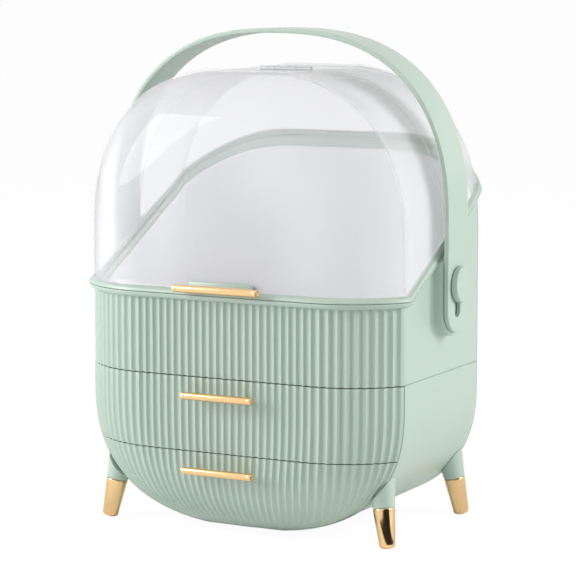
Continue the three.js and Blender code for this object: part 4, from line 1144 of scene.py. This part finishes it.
class ORGANIZER_OT_handle(bpy.types.Operator):
    """Build the carry handle and its pivot buttons"""

    bl_idname = "organizer.handle"
    bl_label = "Carry handle"

    def execute(self, context):
        skin, handle = skin_of(context), context.scene.organizer_handle
        parts = [self.arch(skin, handle), self.leg(skin, handle)]
        build("strap", mirrored(parts), "handle", "sage_plastic", "carry_handle")
        for side, sign in SIDES.items():
            node = f"pivot_button_{side}"
            button = self.button(skin, handle, sign, *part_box(node))
            build(f"button_{side}", [button], "pivots", "sage_plastic", node)
        return {"FINISHED"}

    def button(self, skin, handle, sign, low, high):
        """Button turned round its axis: a stem through the strap's slot and a head with a crowned face."""
        radius = (high[2] - low[2]) / 2
        start, stop = (low[0], high[0]) if sign > 0 else (-high[0], -low[0])
        head = skin.body.half_width + handle.stand + FIT
        profile = [(0, start), (handle.stem, start), (handle.stem, head), (radius, head),
                   (radius, stop - handle.crown), (radius * handle.face_share, stop), (0, stop)]
        turned = lathe(rounded_profile(profile, handle.button_edge, steps=7), TURNED_SIDES["button"])
        return moved(turned, (sign, 0, 0), (0, 0, 1), (0, MID_Y, (low[2] + high[2]) / 2))

    def lines(self, skin, handle):
        """Outer and inner line of the strap from the leg's top to the middle of the arch, as quarter
        superellipses with the body's own exponent."""
        turn = np.linspace(0, np.pi / 2, 97)
        cosine = np.maximum(0, np.cos(turn)) ** (2 / skin.power)
        sine = np.sin(turn) ** (2 / skin.power)
        lines = []
        for inset in (0, handle.thickness):
            half = skin.body.half_width + handle.stand - inset
            lines.append(np.stack([half * cosine, handle.spring + (handle.rise - inset) * sine], axis=-1))
        return lines

    def section(self, handle):
        """Rounded rectangle: place across the strap and place in its thickness."""
        half, soft, thick = handle.width / 2, handle.edge, handle.thickness
        angle = np.linspace(0, np.pi / 2, 5)
        arc = soft * np.stack([np.cos(angle) - 1, np.sin(angle) - 1], axis=-1)
        quarter = arc + (half, thick / 2)
        across = np.linspace(half - soft, soft - half, 6)[1:-1]
        top = np.stack([across, np.full(4, thick / 2)], axis=-1)
        upper = np.concatenate([quarter, top, quarter[::-1] * (-1, 1)])
        return np.concatenate([upper, -upper])

    def arch(self, skin, handle):
        """Section carried along the arch and down the leg to the slot's end."""
        straight = np.linspace(pivot_height() + handle.width, handle.spring, 6)[:-1]
        half = skin.body.half_width + handle.stand
        outer, inner = (np.concatenate([np.stack([np.full(5, half - inset), straight], axis=-1), line])
                        for inset, line in zip((0, handle.thickness), self.lines(skin, handle)))
        section = self.section(handle)
        share = (section[:, 1] / handle.thickness + 0.5)[None, :, None]
        flat = inner[:, None] * (1 - share) + outer[:, None] * share
        y = np.broadcast_to(section[:, 0] + MID_Y, flat.shape[:2])
        return patch(np.stack([flat[..., 0], y, flat[..., 1]], axis=-1), wrap_columns=True)

    def leg(self, skin, handle):
        """Leg end round the slot: a closed section carried round the loop between the slot's outline and the
        strap's outline. Both start at the front of the round end below and go round it, then over the top."""
        pivot, half, slot, steps = pivot_height(), handle.width / 2, handle.slot_half, 16
        top = pivot + handle.width
        angle = np.pi * np.arange(steps + 1) / steps
        over = np.stack([np.cos(angle), np.sin(angle)], axis=-1)
        round_end = -over
        inner = np.concatenate([slot * round_end + (0, pivot - handle.slot_run), slot * over + (0, pivot)])
        across = np.stack([np.linspace(half, -half, steps - 1), np.full(steps - 1, top)], axis=-1)
        upper = np.concatenate([[(half, pivot)], across, [(-half, pivot)]])
        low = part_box("carry_handle")[0][2]
        outer = np.concatenate([half * round_end + (0, low + half), upper])
        out_inner = np.concatenate([round_end, over])
        side = np.stack([np.sign(upper[:, 0]), np.zeros(steps + 1)], axis=-1) * (upper[:, 1:] < top)
        out_outer = np.concatenate([round_end, side])
        soft, thick = handle.edge, handle.thickness
        quarter = np.linspace(0, np.pi / 2, 5)
        loop = []
        for line, out, way, sign in ((outer, -out_outer, 1, 1), (inner, out_inner, -1, 1),
                                     (inner, out_inner, 1, -1), (outer, -out_outer, -1, -1)):
            loop += [(line + out * soft * (1 - np.cos(a)), sign * (thick / 2 - soft + soft * np.sin(a)))
                     for a in quarter[::way]]
        middle = skin.body.half_width + handle.stand - thick / 2
        rings = [(middle + level, flat[:, 0] + MID_Y, flat[:, 1]) for flat, level in loop]
        grid = np.stack([np.stack(np.broadcast_arrays(*ring), axis=-1) for ring in rings])
        return patch(grid, wrap_rows=True, wrap_columns=True)


class ORGANIZER_OT_legs(bpy.types.Operator):
    """Build the four splayed legs and their gold tips"""

    bl_idname = "organizer.legs"
    bl_label = "Legs"

    def execute(self, context):
        skin, leg = skin_of(context), context.scene.organizer_leg
        foot = np.array([skin.body.half_width - leg.foot_inset, skin.crease_y + leg.foot_out, 0])
        for end, front in ENDS.items():
            for side, right in SIDES.items():
                sign = np.array([right, front, 1])
                axis = sign * (-leg.lean_side, -leg.lean_front, 1)
                place = sign * foot + (0, MID_Y, 0)
                name = f"{end}_{side}"
                cone = self.cone(skin, leg, place, axis)
                build(f"leg_{name}_green", cone, "base", "sage_plastic", f"leg_{name}")
                points, faces = moved(self.tip(leg), axis, (1, 0, 0), place)
                points[:, 2] = np.maximum(points[:, 2], 0)
                build(f"tip_{name}", [(points, faces)], "base", "gold_metal", f"leg_tip_{name}")
        return {"FINISHED"}

    def tip(self, leg):
        """Gold tip turned round its axis: a rounded foot, a cone that widens upwards and a socket for the
        leg."""
        top, floor = leg.tip, leg.tip - leg.socket_depth
        profile = [(0, 0), (leg.toe, 0), (leg.toe + leg.toe_round, leg.toe_height),
                   (leg.tip_top, top - leg.tip_slope), (leg.tip_top - leg.tip_lip, top), (leg.socket, top),
                   (leg.socket, floor), (0, floor)]
        return lathe(rounded_profile(profile, leg.tip_edge), TURNED_SIDES["leg"])

    def cone(self, skin, leg, place, axis):
        """Cone whose lines run from the tip's shoulder up to the belly. Each line ends where its point
        reaches the body's outline, found by halving."""
        sides, shoulder = TURNED_SIDES["leg"], leg.tip + FIT
        turn = np.linspace(0, 2 * np.pi, sides, endpoint=False)
        axis = axis / np.linalg.norm(axis)
        across = np.cross((0, 1, 0), axis)
        across /= np.linalg.norm(across)
        ring = np.cos(turn)[:, None] * across + np.sin(turn)[:, None] * np.cross(axis, across)
        radius = lambda along: leg.ankle + (along - shoulder) * leg.widening
        point = lambda along: place + axis * along[:, None] + ring * radius(along)[:, None]
        low, high = np.full(sides, shoulder), np.full(sides, leg.reach)
        for _ in range(30):
            middle = (low + high) / 2
            spot = point(middle)
            inside = np.abs(spot[:, 0]) < skin.half_width(spot[:, 2], -FIT)
            low, high = np.where(inside, low, middle), np.where(inside, middle, high)
        rows = [point(shoulder + (low - shoulder) * share) for share in np.linspace(0, 1, 16)]
        soft = skin.body.edge
        first = rows[0] + axis * soft
        lower = place + axis * shoulder + ring * (leg.ankle - soft)
        grid = np.stack([lower, first, *rows[1:]])
        return [patch(grid, wrap_columns=True), end_cap(grid[0]), end_cap(grid[-1])]


class ORGANIZER_OT_hardware(bpy.types.Operator):
    """Give the screws, clips, pin and shelf their finishes"""

    bl_idname = "organizer.hardware"
    bl_label = "Hardware"

    def execute(self, context):
        slots = {row["node"]: row["material_slot"] for row in frame["record"]["subparts"]}
        for name, node in frame["nodes"].items():
            node.material_slots[0].material = finish_of(context, slots[name])
        return {"FINISHED"}


class ORGANIZER_OT_stage(bpy.types.Operator):
    """Set up the camera, the lamps, the sky and the floor"""

    bl_idname = "organizer.stage"
    bl_label = "Stage"

    def execute(self, context):
        stage = context.scene.organizer_stage
        self.camera(context, stage)
        middle = Vector((0, MID_Y, stage.lamp_aim))
        self.lamp(context, "key", stage.key_place, middle, stage.key_size, stage.key)
        self.lamp(context, "fill", stage.fill_place, middle, stage.fill_size, stage.fill)
        self.sky(context, stage)
        self.floor(stage)
        context.scene.view_settings.view_transform = "Standard"
        return {"FINISHED"}

    def camera(self, context, stage):
        """The camera stands on the view direction through the aim and turns straight towards it."""
        turn, tilt = stage.azimuth, stage.elevation
        view = np.array([np.sin(turn) * np.cos(tilt), -np.cos(turn) * np.cos(tilt), np.sin(tilt)])
        right = np.array([np.cos(turn), np.sin(turn), 0])
        front = np.array([0, MID_Y - context.scene.organizer_body.half_depth, 0])
        aim = front + right * stage.aim_right + np.cross(view, right) * stage.aim_up
        data = bpy.data.cameras.new("camera")
        data.lens = stage.lens
        data.clip_start = 0.05
        context.scene.camera = self.turned(context, data, aim + view * stage.distance, Vector(view))

    def lamp(self, context, name, place, middle, size, power):
        """Square lamp that faces the middle of the object."""
        data = bpy.data.lights.new(name, "AREA")
        data.energy = power
        data.size = size
        self.turned(context, data, place, Vector(place) - middle)

    def turned(self, context, data, place, back):
        """Puts a camera or a lamp in its place with its back along a direction."""
        made = bpy.data.objects.new(data.name, data)
        made.location = place
        made.rotation_euler = back.to_track_quat("Z", "Y").to_euler()
        context.scene.collection.objects.link(made)
        return made

    def sky(self, context, stage):
        """White to the camera and through clear plastic; soft light otherwise. Gloss shows it white too, but
        for a dark field to the right of the camera."""
        world = bpy.data.worlds.new("sky")
        context.scene.world = world
        nodes = Finish(world)
        seen = self.ray(nodes, "Is Camera Ray", "Is Transmission Ray")
        glossy = self.ray(nodes, "Is Glossy Ray")
        way = nodes.node("ShaderNodeTexCoord", output="Generated")
        gloss = glossy * (1.0 - stage.flag * self.field(nodes, way, stage))
        soft = stage.sky * (1.0 - glossy)
        strength = nodes.node("ShaderNodeMath", {"operation": "MAXIMUM"}, {0: seen, 1: gloss + soft})
        light = nodes.node("ShaderNodeBackground", {}, {"Color": (1, 1, 1, 1), "Strength": strength})
        nodes.node_output(light, "ShaderNodeOutputWorld")

    def field(self, nodes, way, stage):
        """Dark field in gloss: 1 round a level direction to the camera's right, 0 outside a cone round it.
        The cosine of the angle between the two directions is stepped smoothly."""
        turn = stage.azimuth + stage.field_turn
        near = nodes.node("ShaderNodeVectorMath", {"operation": "DOT_PRODUCT"},
                          {0: way, 1: (np.sin(turn), -np.cos(turn), 0)}, output="Value")
        return self.step(nodes, near, stage.field_edge, stage.field_soft, "SMOOTHSTEP")

    def step(self, nodes, value, middle, half, kind):
        """Rise from 0 to 1 round a middle value, either smooth or linear."""
        return nodes.node("ShaderNodeMapRange", {"interpolation_type": kind},
                          {"Value": value, "From Min": middle - half, "From Max": middle + half})

    def ray(self, nodes, *kinds):
        """1 for a ray of one of these kinds, otherwise 0."""
        outputs = [nodes.node("ShaderNodeLightPath", output=kind) for kind in kinds]
        return outputs[0] if len(outputs) == 1 else nodes.node(
            "ShaderNodeMath", {"operation": "MAXIMUM"}, dict(enumerate(outputs)))

    def floor(self, stage):
        """Large pale floor: nearly plain white to the camera, with the object's soft shadow, and lit in
        gloss. Away from the object gloss shows it with the sky's dark field."""
        finish = Finish(bpy.data.materials.new("floor"))
        place = {0: finish.place()}
        way = finish.node("ShaderNodeVectorMath", {"operation": "NORMALIZE"}, place)
        away = finish.node("ShaderNodeVectorMath", {"operation": "LENGTH"}, place, output="Value")
        far = self.step(finish, away, stage.field_start, stage.field_start_soft, "LINEAR")
        dark = self.ray(finish, "Is Glossy Ray") * stage.flag * self.field(finish, way, stage) * far
        pale = finish.tint(dark, stage.floor_colour, (0, 0, 0))
        lit = finish.node("ShaderNodeBsdfDiffuse", {}, {"Color": pale})
        white = finish.node("ShaderNodeEmission", {}, {"Color": (1, 1, 1, 1), "Strength": stage.floor_glow})
        seen = self.ray(finish, "Is Camera Ray") * stage.floor_white
        finish.node_output(finish.node("ShaderNodeMixShader", {}, {0: seen, 1: lit, 2: white}))
        half, deep = stage.floor_half, stage.floor_depth
        piece("floor", block((-half, -half, -deep), (half, half, 0)), finish.owner)


class ORGANIZER_PT_panel(bpy.types.Panel):
    """Lists the steps that build the organizer"""

    bl_label = "Organizer"
    bl_idname = "ORGANIZER_PT_panel"
    bl_space_type = "VIEW_3D"
    bl_region_type = "UI"
    bl_category = "Organizer"

    def draw(self, context):
        scene = context.scene
        for name in GROUPS:
            box = self.layout.box()
            box.label(text=name.replace("_", " ").capitalize())
            group = getattr(scene, name)
            for key in group.__annotations__:
                box.prop(group, key)
        for step in STEPS:
            self.layout.operator(step.bl_idname)


GROUPS = {"organizer_body": BodySizes, "organizer_rim": RimSizes, "organizer_flute": FluteSizes,
          "organizer_inside": InsideSizes, "organizer_cover": CoverSizes, "organizer_bar": BarSizes,
          "organizer_handle": HandleSizes, "organizer_leg": LegSizes, "organizer_colours": FinishColours,
          "organizer_stage": StageSizes}
STEPS = (ORGANIZER_OT_stage, ORGANIZER_OT_hardware, ORGANIZER_OT_lower_shell, ORGANIZER_OT_upper_shell,
         ORGANIZER_OT_liner, ORGANIZER_OT_drawers, ORGANIZER_OT_cover, ORGANIZER_OT_bars, ORGANIZER_OT_handle,
         ORGANIZER_OT_legs)
CLASSES = (*GROUPS.values(), *STEPS, ORGANIZER_PT_panel)


def register():
    for kind in CLASSES:
        bpy.utils.register_class(kind)
    for name, kind in GROUPS.items():
        setattr(bpy.types.Scene, name, PointerProperty(type=kind))


def unregister():
    for name in GROUPS:
        delattr(bpy.types.Scene, name)
    for kind in reversed(CLASSES):
        bpy.utils.unregister_class(kind)


def main():
    """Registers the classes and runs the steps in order."""
    register()
    for step in STEPS:
        group, name = step.bl_idname.split(".")
        getattr(getattr(bpy.ops, group), name)()


if __name__ == "__main__":
    main()
